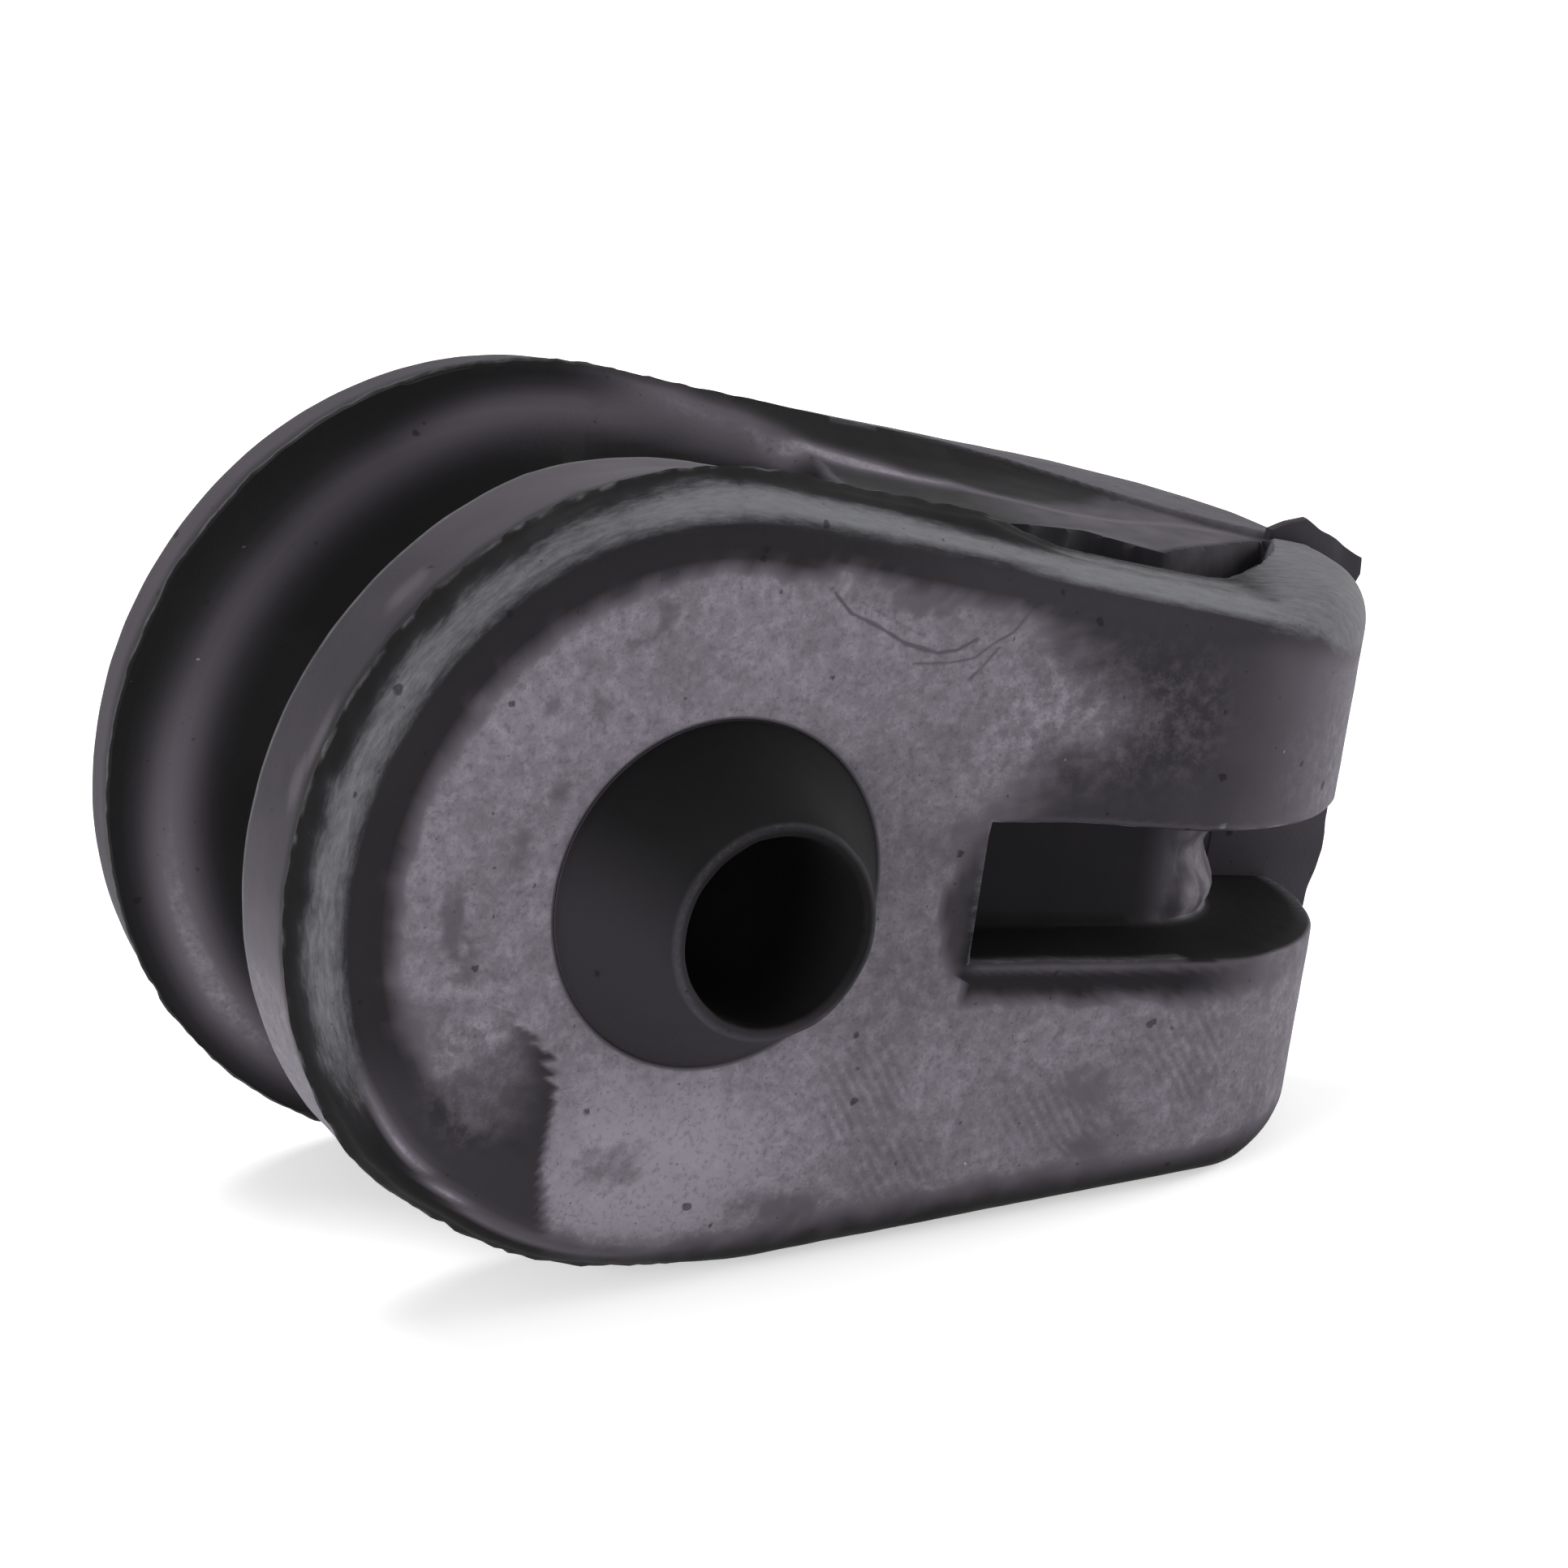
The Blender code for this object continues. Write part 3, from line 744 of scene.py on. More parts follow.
def face_bloom_and_light(x, z, inset):
    """Share of bloom left on the flat front face."""
    blur = 0.45 * soft(x, 0, z, 2)
    if z > 0:
        k = rise(x, 3, 5)
        low, high = mix(4.3, 3.7, k), mix(mix(6.8, 6.2, rise(x, -8, 6)), 5.4, k)
    else:
        k = rise(x, -9.5, 4.5)
        low, high = mix(4.3, 0.8, k), mix(6.8, 4.2, k)
    share = rise(inset + blur, low, high - low)
    # bloom thickest under the boss, with painted light from below making it paler there, and
    # thinner towards the slot
    share *= 0.88 + 0.27 * fall(hypot(x + 1, (z + 18) * 1.3), 3, 9)
    share *= 1 - 0.08 * rise(x, 8, 8)
    # the upper jaw has lost most of its bloom, the lower one less
    if z > 0:
        cloudy = 2.5 * ripple(x, 0, z, 5, 11) + 2.0 * soft(x, 0, z, 1.4)
        thin = rise(x + cloudy + 1.1 * abs(z - 11.5), 23, 11) * rise(z, 1, 3.5)
        share *= mix(1.0, 0.19, thin)
    else:
        share *= mix(1.0, 0.85, rise(x + blur, 30, 8))
    share = beside_slot(x, z, share)
    for cx, cz, wide, tall, gone in RUBBED_SPOTS:
        away = hypot((x - cx) / wide, (z - cz) / tall)
        if away < 2.2:
            away += 0.4 * soft(x, 2, z, 1.6, 5) + 0.5 * soft(x, 4, z, 0.8, 5)
            share *= 1 - 0.7 * gone * fall(away, 0.1, 1.2)
    # a clear smudge left of the slot
    away = hypot((x - 19.6) / 2.3, (z + 1.0) / 5.0) + 0.22 * ripple(x, 2, z, 2.6, 5)
    share *= 1 - 0.70 * fall(away, 0.65, 0.35)
    # the smear, with comb marks along its edge and a paler, speckled middle
    comb = 0.4 * sin(7.0 * (z + 0.35 * x)) * rise(z, -14, 3)
    inside = rise(smear_edge(z) + comb + 0.25 * blur, x, 0.45)
    inside *= smooth((-6.0 - z + 0.5 * blur) / 1.2)
    inside *= 1 - 0.75 * smooth((z + 10.0 - 0.6 * (x + 10.0)) / 3.0) * smooth((-10.5 - x) / 1.5)
    smoke = 0.8 * soft(x, 7, z, 3.5, 2) + 0.5 * soft(x, 3, z, 0.9, 4)
    middle = fall(hypot(x + 13.0, (z + 11.2) * 0.8) + smoke, 1.2, 3.8)
    share *= 1 - inside * mix(0.86, 0.42, middle)
    if 5 < x < 22 and 12 < z < 21:
        share *= 1 - 0.35 * smooth(gouge_at(x, z) / 0.09)
    return share


# %% Finish shares
TO_DRAWING = TO_ROW.inverted()


def jaw_bloom_and_shade(x, y, z, inset):
    """Bloom on the round nose, with painted shade under the top edge, and paler towards the tip.
    """
    if z > 0:
        share = mix(0.20, 0.74, rise(x, 35, 14)) + 0.04 * soft(x, y, z, 3)
        # the share falls near the top edge: painted shade
        return beside_slot(x, z, share * (0.30 + 0.70 * rise(inset, 2.4, 2.8)))
    share = (0.82 + 0.12 * soft(x, y, z, 2.4)) * rise(inset, 0.8, 2.6)
    return beside_slot(x, z, share)


def slot_finish(x, y, z, sink):
    """Inside the channel: a painted highlight on the lip just inside the mouth, dark walls whose
    reflection is turned off as painted shade, and a paler rough web edge near the nose.
    """
    if abs(z) > SLOT_HALF - 0.3:
        # lip is a painted highlight; deeper down the walls get painted shade
        lip = fall(sink, 0.2, 0.25)
        return 0.03 * (z > 0) + 0.35 * lip, 0.8 * lip, mix(-0.5, 0.3, lip)
    patch = rise(x, 36, 6) * fall(x - NOSE_X - WEB_NOSE_R, -0.2, 0.7)
    rough = rise(soft(x, y, z * 0.5, 1.6, 4), -0.6, 1)
    if y > SLOT_END_Y - 1.5 and x > NOSE_X + WEB_NOSE_R - 0.5:
        return 0.12, 0.05, 0.2
    # painted shade: the low side of the slot towards the closed end is a dead black
    if z < -SLOT_HALF + 1.0 and x < 36:
        return 0.0, 0.0, -0.5
    return 0.05 + 0.82 * patch * (0.35 + 0.65 * rough), 0.35 * patch * rough, 0.25 * (1 - patch)


def crest_highlight(x, z, inset):
    """The thin bright line along the crest of the worn edge low on the left: a painted highlight.
    """
    turn = turn_at(x, z)
    if z > 0 or turn < 190:
        return 0.0
    fade = rise(turn, 196, 28) * fall(x, -6, 18)
    inner = rise(inset, 2.2, 0.3) * fall(inset, 2.4, 1.5)
    return fade * max(0.92 * hump(inset, 2.3, 0.28), 0.36 * inner)


def wear_and_edge_highlight(x, y, z, inset):
    """Share of wear over the rounded front edge; over the top on the right the band ends in a
    painted highlight, a bright line along the crest.
    """
    if z < 0 and x > -4:
        return 0.0
    over = rise(x, -4, 10) * (z > 0)
    start = mix(0.05, 0.45, over) + 0.5 * rise(x, 8, 16) * (z > 0)
    start += (0.25 * soft(x, y, z, 2.4, 8) + 0.1) * (x < 0)
    # stop is where the band ends, on the right at the painted highlight along the crest
    stop = 1.8 + 0.45 * rise(x, 18, 8) + 1.0 * rise(x, 42, 5)
    run = mix(1.3, 0.7, over) + 0.8 * rise(x, 40, 6)
    worn = rise(inset, start, mix(1.1, 0.7, over)) * fall(inset, stop, run)
    worn *= 1 - rise(turn_at(x, z), 196, 28) * (z < 0)
    if x < 0:
        return worn * mix(0.58, 0.88, rise(x, -11, 8) * (z > 0))
    # over the top it is rubbed evenly, and all over the top of the nose
    top = smooth((x - 37 - 0.4 * (y - 4)) / 6.0) * fall(inset, 1.7, 2.2)
    return max(worn, top) * mix(0.95, 0.74, rise(x, 36, 8))


# bloom on the front flange's rim by the angle round the round end, from the nose over the top,
# with painted light and shade in it: far paler low on the left, where the light falls, and darker
# on the upper left
RIM_BLOOM_AND_LIGHT = [
    (84, 0.42), (108, 0.48), (124, 0.36), (138, 0.22), (156, 0.20), (172, 0.24), (184, 0.34),
    (200, 0.80), (235, 0.90),
]
# the painted highlight in the dish, a soft light band, by the same angle: how far inside the line,
# and how strong
DISH_HIGHLIGHT = [
    (84, 2.4, 0.56), (100, 2.8, 0.54), (118, 3.6, 0.34), (140, 4, 0.29), (165, 3.8, 0.38),
    (185, 3.4, 0.58), (205, 3, 0.80), (225, 2.6, 0.88), (245, 2.4, 0.6),
]
# pale smudges on the rim: x, z, depth, half length round the rim, half width
RIM_SMUDGES = [(-19.2, 17, 6.6, 2, 1.1), (-24.6, 8.6, 4.9, 2.4, 0.7), (-25.3, 5.2, 5.6, 2, 0.8)]
# the painted highlight along the shelf: x, depth
SHELF_HIGHLIGHT = [
    (0, 29), (10, 28.8), (15, 28.1), (17.5, 27.4), (20, 26.5), (24.5, 25.5),
    (28.5, 24.1), (31, 21.6), (34, 18.8), (38, 17.9),
]


def groove_finish(x, y, z, inset, wall_y, rear_y):
    """Between the flash lines: rim, deep groove, dish, and the shelf and trench on the flanks,
    with painted highlights in the dish and along the shelf and painted shade in the trench.
    """
    turn = turn_at(x, z)
    rim_front = FRONT_Y + 0.55
    if y < RIM_BACK + 0.2 and inset < 1.9 and x < 14:
        # edge is a painted highlight along the rim's rounded back edge, written in the wear share
        edge = hump(y, RIM_BACK - 0.1, 0.16)
        share = along_table(RIM_BLOOM_AND_LIGHT, turn)[0] + 0.03 * soft(x, y, z, 6)
        share *= mix(0.25, 1.0, smooth((y - rim_front - 0.2 * ripple(x, y, z, 2)) / 0.9))
        smudge = 0.0
        for cx, cz, cy, long, wide in RIM_SMUDGES:
            away = hypot(hypot(x - cx, z - cz) / long, (y - cy) / wide)
            smudge = max(smudge, fall(away + 0.25 * soft(x, y, z, 1.5), 0.5, 0.7))
        fade = fall(x, 9, 5)
        return (share + 0.22 * smudge) * fade, 0.7 * edge * fade, 0.45
    centre, strength = along_table(DISH_HIGHLIGHT, turn)
    flank = 0.0 if z < 0 else rise(x, 1, 9)
    if flank < 1.0 or z < 0:
        wide = mix(1.5, 0.7, flank)
        if inset < centre:
            wide = mix(1.05, 1.4, rise(turn, 150, 30))
        # the dish's soft band is a painted highlight where its curved wall faces the lamps
        band = strength * hump(inset, centre, wide)
        line = 0.5 * hump(y, REAR_Y, 0.12)
        line += 0.25 * hump(inset, 0.9 + 0.2 * ripple(x, 0, z, 3), 0.12)
        if flank == 0.0:
            # deeper in the dish the reflection is turned off: painted shade
            return band, line, mix(0.6, -0.2, rise(inset, 4.6, 1.4))
    else:
        band = line = 0.0
    middle = along_table(SHELF_HIGHLIGHT, x)[0] + 0.15 * ripple(x, 0, z, 5)
    # a painted highlight along the shelf where its curve turns up to the rear edge
    light = hump(y, middle, 0.9)
    if y <= middle:
        light = 0.8 * light + 0.2 * hump(y, middle, 2.2)
    light *= 0.70 + 0.30 * rise(x, 14, 6) - 0.38 * rise(x, 23, 8)
    light *= fall(inset, 3.2, 0.9)
    # a painted highlight on the ridge where the pocket ends
    ridge_highlight = 0.40 * hump(x, along_table(POCKET_EDGE, y)[0] - 0.1, 0.35) * rise(y, 16, 3)
    ridge_highlight *= smooth(26.6 - y) * fall(inset, 3, 0.8)
    floor = max(0.03 * smooth((26.5 - y) / 2), ridge_highlight)
    # towards the nose the whole shelf is satin grey
    satin = rise(x, 25, 9) * smooth((2.2 - inset) / 0.5)
    satin *= smooth((middle + 1.5 - y) / 3.0 + (x - 30) / 6.0)
    share = max(mix(band, light, flank), floor, satin * (0.36 + 0.12 * soft(x, y, z, 2)))
    # painted shade: darker in the crease before the rear edge, and down the trench wall behind the
    # front flange
    crease_shade = hump(y, rear_y - 0.35, 0.55) * rise(x, 24, 6)
    wall = fall(y - wall_y, 0.25, 0.6) * rise(x, 16, 4)
    share *= (1 - 0.7 * crease_shade) * (1 - wall)
    # reflection is turned off down the trench and deep in the groove: painted shade
    deep = max(wall, rise(x, 16, 4) * rise(inset, 2.6, 0.6))
    share += wall * (0.09 * rise(x, 22, 4) + 0.13 * rise(x, 36, 3))
    return share, mix(line, 0.0, flank), mix(0.45, -0.5, deep)


# the share of bloom on the flat rear face
REAR_BLOOM = 0.86


def finish_at(x, y, z):
    """Shares of bloom, wear and polish at a point of the drawing."""
    from_bore = hypot(x - BORE_X, z)
    inset = inset_at(x, z)
    plan = nose_at(y) - x if x > NOSE_X else 9.0
    # the bore's reflection is turned off: painted shade
    if from_bore < BORE_R + 0.25 and y > -7.3:
        return 0.0, 0.0, -0.5
    if y < 0.2 and from_bore < BOSS_FOOT_R + 0.2:
        lip = hump(from_bore, 6.75, 0.2) * smooth((-7.2 - y) / 0.25)
        # low makes the lower side of the boss paler: painted light from below
        low = smooth((2.0 - z + 0.5 * (BORE_X - x)) / 9.0)
        return 0.12 * low + 0.12 * lip, 0.2 * lip, -0.4
    if x > SLOT_X - 0.1 and abs(z) < SLOT_HALF + 0.12 and y < SLOT_END_Y + 0.1:
        sink = y if x < NOSE_X else max(0.0, plan)
        if sink > 0.15:
            return slot_finish(x, y, z, sink)
    along = along_flank(x, z)
    front, _, wall_y, rear = along_table(FLANK_TABLE, along)[:4]
    if along < 0:
        front, rear = FRONT_Y, REAR_Y
    if x > NOSE_X and plan < 0.3 and inset > 2.4:
        back = rise(y, 16, 14)
        edge = 0.35 * rise(y, 6, 7) * rise(inset, 3, 2) * (1 - back)
        rear_share = mix(0.40, REAR_BLOOM, rise(inset, 4, 2))
        share = mix(jaw_bloom_and_shade(x, y, z, inset), rear_share, back)
        return share, max(edge, wear_and_edge_highlight(x, y, z, inset) * (1 - back)), 0.15
    if y < front + 0.05 or inset < -0.3 and y < MID_Y:
        face = mix(face_bloom_and_light(x, z, inset), jaw_bloom_and_shade(x, y, z, inset), rise(x, 30, 6.5))
        worn = wear_and_edge_highlight(x, y, z, inset)
        line = 0.5 * hump(y, front, 0.12) * smooth(0.5 + ripple(x, y, z, 1.2, 4)) * (x < 30)
        shoulder_band_and_highlight = 0.06 + 0.10 * rise(x, 6, 14) + 0.10 * rise(-z, 8, 6)
        shoulder_band_and_highlight *= rise(inset, 2.2, 0.8) * fall(inset, 6.5, 1.5)
        # the crest's painted highlight joins the shoulder band in the bloom share
        shoulder_band_and_highlight = max(shoulder_band_and_highlight, crest_highlight(x, z, inset))
        # mouth is a painted highlight along the closed end of the slot, written in the wear share
        mouth = hump(x, SLOT_X - 0.1, 0.22) * (abs(z) < SLOT_HALF + 0.2)
        # lip turns the reflection off on the flash lip over the top right: painted shade, dark
        # like the trench behind it
        lip = rise(x, 12, 6) * fall(x, 38, 3) * (z > 0)
        lip *= fall(inset, 0.9, 0.4)
        polish = mix(0.35 * (1 - face), -0.5, lip)
        return max(face, shoulder_band_and_highlight, 0.3 * worn), max(worn, line, 0.8 * mouth), polish
    side = rise(x, 24, 8)
    back = rise(y - THICK, -3, 2.5) * rise(inset, 4, 2)
    k = rise(y - rear, 0.3, 1.6)
    outer = (mix(mix(mix(0.10, 0.36, k), 0.40, side), REAR_BLOOM, back),
             max(0.5 * hump(y, rear, 0.15) * (1 - side), 0.25 * side) * (1 - back), 0.3)
    if y > rear + 0.8 * side:
        return outer
    inner = groove_finish(x, y, z, inset, wall_y, rear)
    k = rise(y - rear, -0.1, 0.8) * side
    return tuple(mix(a, b, k) for a, b in zip(inner, outer))


def wrinkle_at(x, z):
    """Where the bloom has dried in fine parallel wrinkles, low on the right of the face."""
    spots = ((14, -13, 4, 4), (17, -18, 4, 3), (28, -14.5, 5, 3), (38, -11, 4, 4))
    return max(fall(hypot((x - cx) / wide, (z - cz) / tall), 0.5, 0.6)
               for cx, cz, wide, tall in spots)


def ragged_at(x, z):
    """How broken the finish is: most in the smear and on the upper jaw, and least on the nose."""
    smear = fall(hypot(x + 13.3, (z + 11.5) * 0.8), 1.5, 3.5)
    jaw = rise(x, 16, 7) * fall(x, 33, 6) * hump(z, 11.5, 4.5)
    tip = rise(x, 40, 3) * smooth((5.0 - abs(z - 8.0)) / 3.0)
    even = rise(x, 36, 5) * (z > 0) * fall(inset_at(x, z), 3, 1)
    return max(smear, jaw, 0.5 * tip) - even


def round_outline(x, z):
    """Distance round the outline, from the nose over the top and back along the underside."""
    if on_arc(x, z):
        turn = atan2(z, x) % (2 * pi)
        return END_R * (turn - pi / 2 + HALF_TAPER)
    along = x * COS - abs(z) * SIN
    return -along if z > 0 else END_R * (pi + 2 * HALF_TAPER) + along


FLASH_FINISH = (0.26, 0.0, 0.3)
SHARP_ANGLE = radians(42)


def write_finish(obj, plain=None):
    """Shares of each finish, where wrinkles and ragged bloom are, and a grid round the outline."""
    mesh = obj.data
    mesh.color_attributes.new("finish", "FLOAT_COLOR", "POINT")
    mesh.attributes.new("wrinkle", "FLOAT", "POINT")
    mesh.attributes.new("strip", "FLOAT_VECTOR", "POINT")
    layers = [mesh.attributes[name].data for name in ("finish", "wrinkle", "strip")]
    for vert, share, wrinkle, strip in zip(mesh.vertices, *layers):
        x, y, z = TO_DRAWING @ vert.co
        bloom, wear, polish = plain or finish_at(x, y, z)
        share.color = (bloom, wear, polish, ragged_at(x, z) if y < 9 else 0.0)
        wrinkle.value = wrinkle_at(x, z) if y < 4 else 0.0
        strip.vector = (round_outline(x, z), inset_at(x, z) - y, 0.0)


write_finish(block)
write_finish(flash, FLASH_FINISH)
for obj in (block, flash):
    obj.data.shade_smooth()
    obj.data.set_sharp_from_angle(angle=SHARP_ANGLE)
print("finish written on", len(block.data.vertices), "points")

# %% [markdown]
# ## The rubber
# One material covers everything. Its colour runs from black to the grey-violet of the bloom
# by the bloom share, which also carries painted light and shade, broken up by fine mottling
# and dark specks. Wear, which also carries painted highlights, lightens it, polish makes it
# glossier, a polish share below 0 turns the reflection off as painted shade, and fine pitting
# and wrinkles go into the bump. All patterns are set in object coordinates in metres, so their
# scale is that of the real part. The helpers work on `tree`, the nodes of whatever is being made.

# %% Material helpers
def feed(socket, value):
    """Give an input a value, or link it to another node's socket."""
    if isinstance(value, bpy.types.NodeSocket):
        tree.links.new(value, socket)
    else:
        socket.default_value = value


def node(kind, **settings):
    """A new node with its settings and the values or links of its inputs."""
    made = tree.nodes.new(kind)
    for name, value in settings.items():
        if name in made.inputs:
            feed(made.inputs[name], value)
        else:
            setattr(made, name, value)
    return made


def noise_node(coords, scale, detail, rough, stretch=(1.0, 1.0, 1.0)):
    """Noise with `scale` waves to the millimetre."""
    mapping = node("ShaderNodeMapping", Vector=coords, Scale=stretch)
    return node("ShaderNodeTexNoise", Vector=mapping.outputs["Vector"], Scale=scale / MM,
                Detail=detail, Roughness=rough).outputs["Fac"]


def math_node(operation, a, b, clamp=True):
    made = node("ShaderNodeMath", operation=operation, use_clamp=clamp)
    feed(made.inputs[0], a)
    feed(made.inputs[1], b)
    return made.outputs["Value"]


def times(a, b, clamp=True):
    return math_node("MULTIPLY", a, b, clamp)


def plus(a, b, clamp=False):
    return math_node("ADD", a, b, clamp)


def ramp(value, low, high, start=0.0, stop=1.0):
    """Map a range to another, held at the ends."""
    ends = {"From Min": low, "From Max": high, "To Min": start, "To Max": stop}
    return node("ShaderNodeMapRange", interpolation_type="SMOOTHSTEP", Value=value,
                **ends).outputs["Result"]


def blend(factor, a, b):
    """Mix two colours, or a socket and a colour; sockets 6, 7 and 2 are the colour ones."""
    made = node("ShaderNodeMix", data_type="RGBA")
    for number, value in ((0, factor), (6, a), (7, b)):
        feed(made.inputs[number], value)
    return made.outputs[2]


def specks(coords, per_mm, size):
    """Small dots of random size, one in each cell of a Voronoi pattern."""
    cells = node("ShaderNodeTexVoronoi", Vector=coords, Scale=per_mm / MM).outputs
    lot = node("ShaderNodeSeparateColor", Color=cells["Color"]).outputs["Red"]
    reach = ramp(lot, 0.5, 1.0, 0.0, size)
    return ramp(math_node("SUBTRACT", reach, cells["Distance"], False), 0.0, 0.05)


# %% Rubber colours and shares
BLACK = (0.0032, 0.0030, 0.0034, 1.0)
BLOOM_LIGHT = (0.215, 0.194, 0.228, 1.0)
BLOOM = (0.158, 0.143, 0.169, 1.0)
BLOOM_DARK = (0.122, 0.111, 0.131, 1.0)
GRAIN_DARK = (0.085, 0.077, 0.092, 1.0)
WORN = (0.122, 0.123, 0.131, 1.0)
SATIN = (0.112, 0.099, 0.120, 1.0)
LIGHT_SPECK = (0.40, 0.38, 0.38, 1.0)

rubber = bpy.data.materials.new("bloomed_rubber")
rubber.use_nodes = True
tree = rubber.node_tree
shader = tree.nodes["Principled BSDF"]
coords = node("ShaderNodeTexCoord").outputs["Object"]
painted = node("ShaderNodeVertexColor", layer_name="finish").outputs
shares = node("ShaderNodeSeparateColor", Color=painted["Color"]).outputs
bloom_and_light_share, wear_and_highlight_share, polish_and_shade_share = shares["Red"], shares["Green"], shares["Blue"]
ragged = painted["Alpha"]

# %% Film of bloom
turned = node("ShaderNodeMapping", Vector=coords, Rotation=(0.0, 0.5, 0.0))
wave = node("ShaderNodeTexWave", Vector=turned.outputs["Vector"], Scale=0.42 / MM,
            Distortion=3.0, Detail=2.0, **{"Detail Scale": 0.4})
wrinkle = node("ShaderNodeAttribute", attribute_name="wrinkle").outputs["Fac"]
folds = times(wave.outputs["Fac"], wrinkle)
cloud = noise_node(coords, 0.14, 4.0, 0.55)
mottle = noise_node(coords, 1.1, 8.0, 0.72)
grain = noise_node(coords, 3.2, 3.0, 0.6)
film = blend(ramp(cloud, 0.30, 0.70), BLOOM_DARK, BLOOM)
for mask, colour in (
        (ramp(mottle, 0.45, 0.75, 0.0, 0.36), BLOOM_LIGHT),
        (ramp(mottle, 0.45, 0.22, 0.0, 0.45), BLOOM_DARK),
        # a share above 0.92, low under the boss where painted light from below is added, turns to
        # the light bloom colour
        (ramp(bloom_and_light_share, 0.92, 1.25, 0.0, 0.6), BLOOM_LIGHT),
        (ramp(grain, 0.52, 0.28, 0.0, 0.6), GRAIN_DARK), (times(folds, 0.5), GRAIN_DARK)):
    film = blend(mask, film, colour)
# a thin film is even and has no mottling
film = blend(ramp(bloom_and_light_share, 0.60, 0.80), SATIN, film)
# how far it covers the black is uneven too, most of all where it is ragged
patchy = times(ramp(mottle, 0.25, 0.75, -0.18, 0.14), ramp(bloom_and_light_share, 0.55, 0.80), False)
torn_film = times(ramp(mottle, 0.40, 0.68, -0.05, 0.22), ramp(ragged, 0.0, 1.0), False)
cover = node("ShaderNodeMapRange", Value=plus(plus(bloom_and_light_share, patchy), torn_film))
base = blend(cover.outputs["Result"], BLACK, film)

# %% Wear and specks
strip = node("ShaderNodeAttribute", attribute_name="strip").outputs["Vector"]
streak = noise_node(strip, 0.001, 8.0, 0.75, (0.6, 2.2, 1.0))
streaks = times(ramp(streak, 0.25, 0.75, -0.22, 0.22), ramp(ragged, -1.0, 0.0, 0.2, 1.0), False)
rubbed = times(ramp(plus(wear_and_highlight_share, streaks), 0.0, 1.15), ramp(wear_and_highlight_share, 0.02, 0.25))
base = blend(rubbed, base, WORN)
# uneven specks: the cells are pushed about by noise first
SPECK_PUSH = (0.6 * MM, 0.6 * MM, 0.6 * MM)
push = node("ShaderNodeTexNoise", Vector=coords, Scale=1.6 / MM, Detail=2.0)
pushed = node("ShaderNodeVectorMath", operation="MULTIPLY_ADD")
for number, value in enumerate((push.outputs["Color"], SPECK_PUSH, coords)):
    feed(pushed.inputs[number], value)
# specks to the millimetre, size, strength and colour
for per_mm, size, strength, colour in (
        (0.42, 0.16, 0.65, BLACK), (1.1, 0.14, 0.5, BLACK), (2.0, 0.16, 0.3, BLACK),
        (0.30, 0.05, 0.6, LIGHT_SPECK)):
    dots = specks(pushed.outputs["Vector"], per_mm, size)
    base = blend(times(dots, strength), base, colour)
feed(shader.inputs["Base Color"], base)

# %% Gloss and relief
gloss = ramp(polish_and_shade_share, 0.0, 1.0, 0.72, 0.38)
gloss = plus(gloss, ramp(cloud, 0.3, 0.7, -0.04, 0.05), True)
feed(shader.inputs["Roughness"], gloss)
# below 0 the polish share turns the reflection off to a dead black: painted shade in the bore, the
# slot, the trench and the deep groove
spec_with_painted_shade = ramp(polish_and_shade_share, -0.5, 0.0, 0.0, 0.07)
feed(shader.inputs["Specular IOR Level"], spec_with_painted_shade)

wrinkles = node("ShaderNodeBump", Strength=0.5, Distance=0.05 * MM, Height=folds)
waves = node("ShaderNodeBump", Strength=0.35, Distance=0.08 * MM, Height=mottle,
             Normal=wrinkles.outputs["Normal"])
pits = node("ShaderNodeBump", Strength=0.3, Distance=0.04 * MM, Height=grain,
            Normal=waves.outputs["Normal"])
feed(shader.inputs["Normal"], pits.outputs["Normal"])

for obj in (block, flash):
    obj.data.materials.clear()
    obj.data.materials.append(rubber)
print("rubber nodes", len(tree.nodes))

# %% [markdown]
# ## Floor, light and camera
# The floor is a large pale disc that looks white to the camera and still takes the part's
# shadow. Soft lamps from the left, the right, the front and above light it as in a light tent.

# %% Floor
FLOOR_R, FLOOR_GLOW = 1.6, 0.42
WHITE = (1.0, 1.0, 1.0, 1.0)
floor_mesh = bmesh.new()
bmesh.ops.create_circle(floor_mesh, cap_ends=True, segments=96, radius=FLOOR_R)
floor = in_scene("floor", bpy.data.meshes.new("floor"))
floor_mesh.to_mesh(floor.data)
floor_mesh.free()


def seen():
    """1 for a ray from the camera, or one that a gloss or glass has sent on, and else 0."""
    rays = node("ShaderNodeLightPath").outputs
    direct = plus(rays["Is Camera Ray"], rays["Is Glossy Ray"], True)
    return plus(direct, rays["Is Transmission Ray"], True)


paper = bpy.data.materials.new("pale_floor")
paper.use_nodes = True
tree = paper.node_tree
shade = tree.nodes["Principled BSDF"].inputs
feed(shade["Base Color"], (0.86, 0.86, 0.86, 1.0))
feed(shade["Roughness"], 0.9)
feed(shade["Emission Color"], WHITE)
feed(shade["Emission Strength"], times(seen(), FLOOR_GLOW))
floor.data.materials.append(paper)
print("floor radius", FLOOR_R, "m")

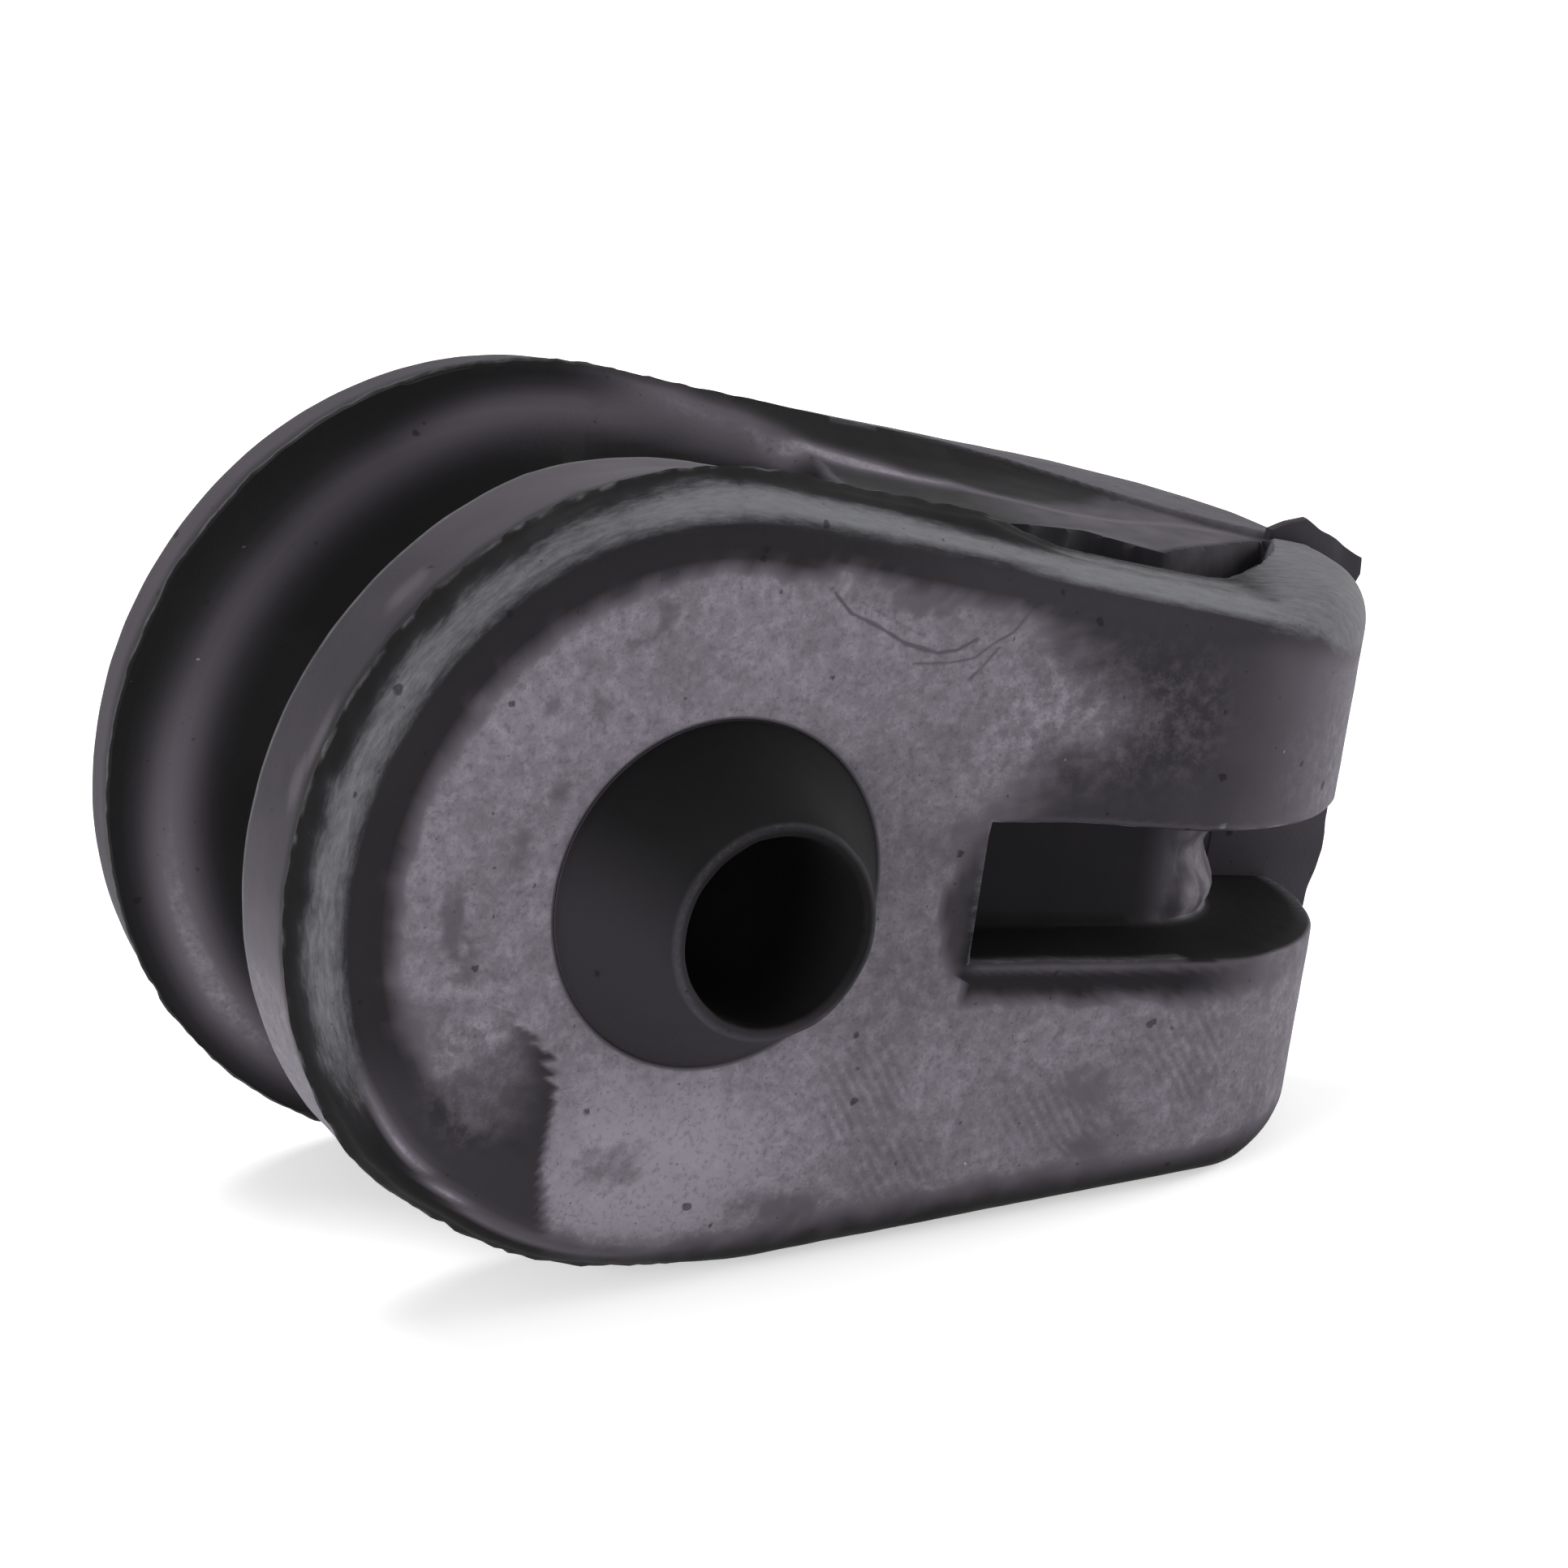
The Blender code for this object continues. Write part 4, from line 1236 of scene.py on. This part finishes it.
# %% World and lamps
TENT_LIGHT = 0.38
world = bpy.data.worlds.new("light_tent")
bpy.context.scene.world = world
world.use_nodes = True
tree = world.node_tree
around = tree.nodes["Background"]
feed(around.inputs["Color"], WHITE)
feed(around.inputs["Strength"], TENT_LIGHT)
white = node("ShaderNodeBackground", Color=WHITE, Strength=1.0)
choose = node("ShaderNodeMixShader", Fac=seen())
feed(choose.inputs[1], around.outputs["Background"])
feed(choose.inputs[2], white.outputs["Background"])
feed(tree.nodes["World Output"].inputs["Surface"], choose.outputs["Shader"])

LAMP_TARGET = Vector((0.0, 0.0, 0.025))
LAMPS = [
    # name, place and size in metres, power in watts
    ("left_lamp", (-0.50, -0.22, 0.12), 0.25, 2.4),
    ("top_lamp", (-0.10, 0.20, 0.60), 0.3, 3.0),
    ("right_lamp", (0.50, -0.05, 0.16), 0.25, 2.2),
    ("front_lamp", (-0.15, -0.60, 0.10), 0.3, 1.6),
]
for name, place, size, power in LAMPS:
    lamp = bpy.data.lights.new(name, "AREA")
    lamp.size = size
    lamp.energy = power
    obj = in_scene(name, lamp)
    obj.location = place
    obj.rotation_euler = (LAMP_TARGET - Vector(place)).to_track_quat("-Z", "Y").to_euler()
print("lamps", len(LAMPS))

# %% Camera
# the photograph's place and directions, in the drawing frame, and its lens in millimetres
CAMERA_AT = (-192.81, -326.88, 106.81)
LENS, SENSOR = 149.07, 36.0
forward = Vector((0.5006, 0.8280, -0.2526)).normalized()
right = Vector((0.8657, -0.4775, 0.1505))
right = (right - forward * right.dot(forward)).normalized()
up = right.cross(forward)
axes = Matrix.Rotation(HALF_TAPER, 3, "Y") @ Matrix((right, up, -forward)).transposed()
camera_place = TO_ROW @ Vector(CAMERA_AT)
camera = in_scene("camera", bpy.data.cameras.new("camera"))
camera.data.lens = LENS
camera.data.sensor_width = SENSOR
camera.data.clip_start = 0.01
camera.matrix_world = Matrix.Translation(camera_place) @ axes.to_4x4()
bpy.context.scene.camera = camera
bpy.context.scene.view_settings.view_transform = "Standard"
print("camera at", [round(c, 4) for c in camera_place])

# %% [markdown]
# ## Attaching the pieces
# Both pieces ride on the one body and stand for the imported solid.

# %% Finish
for obj in (block, flash):
    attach(obj, "root")
    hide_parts("rubber_body")
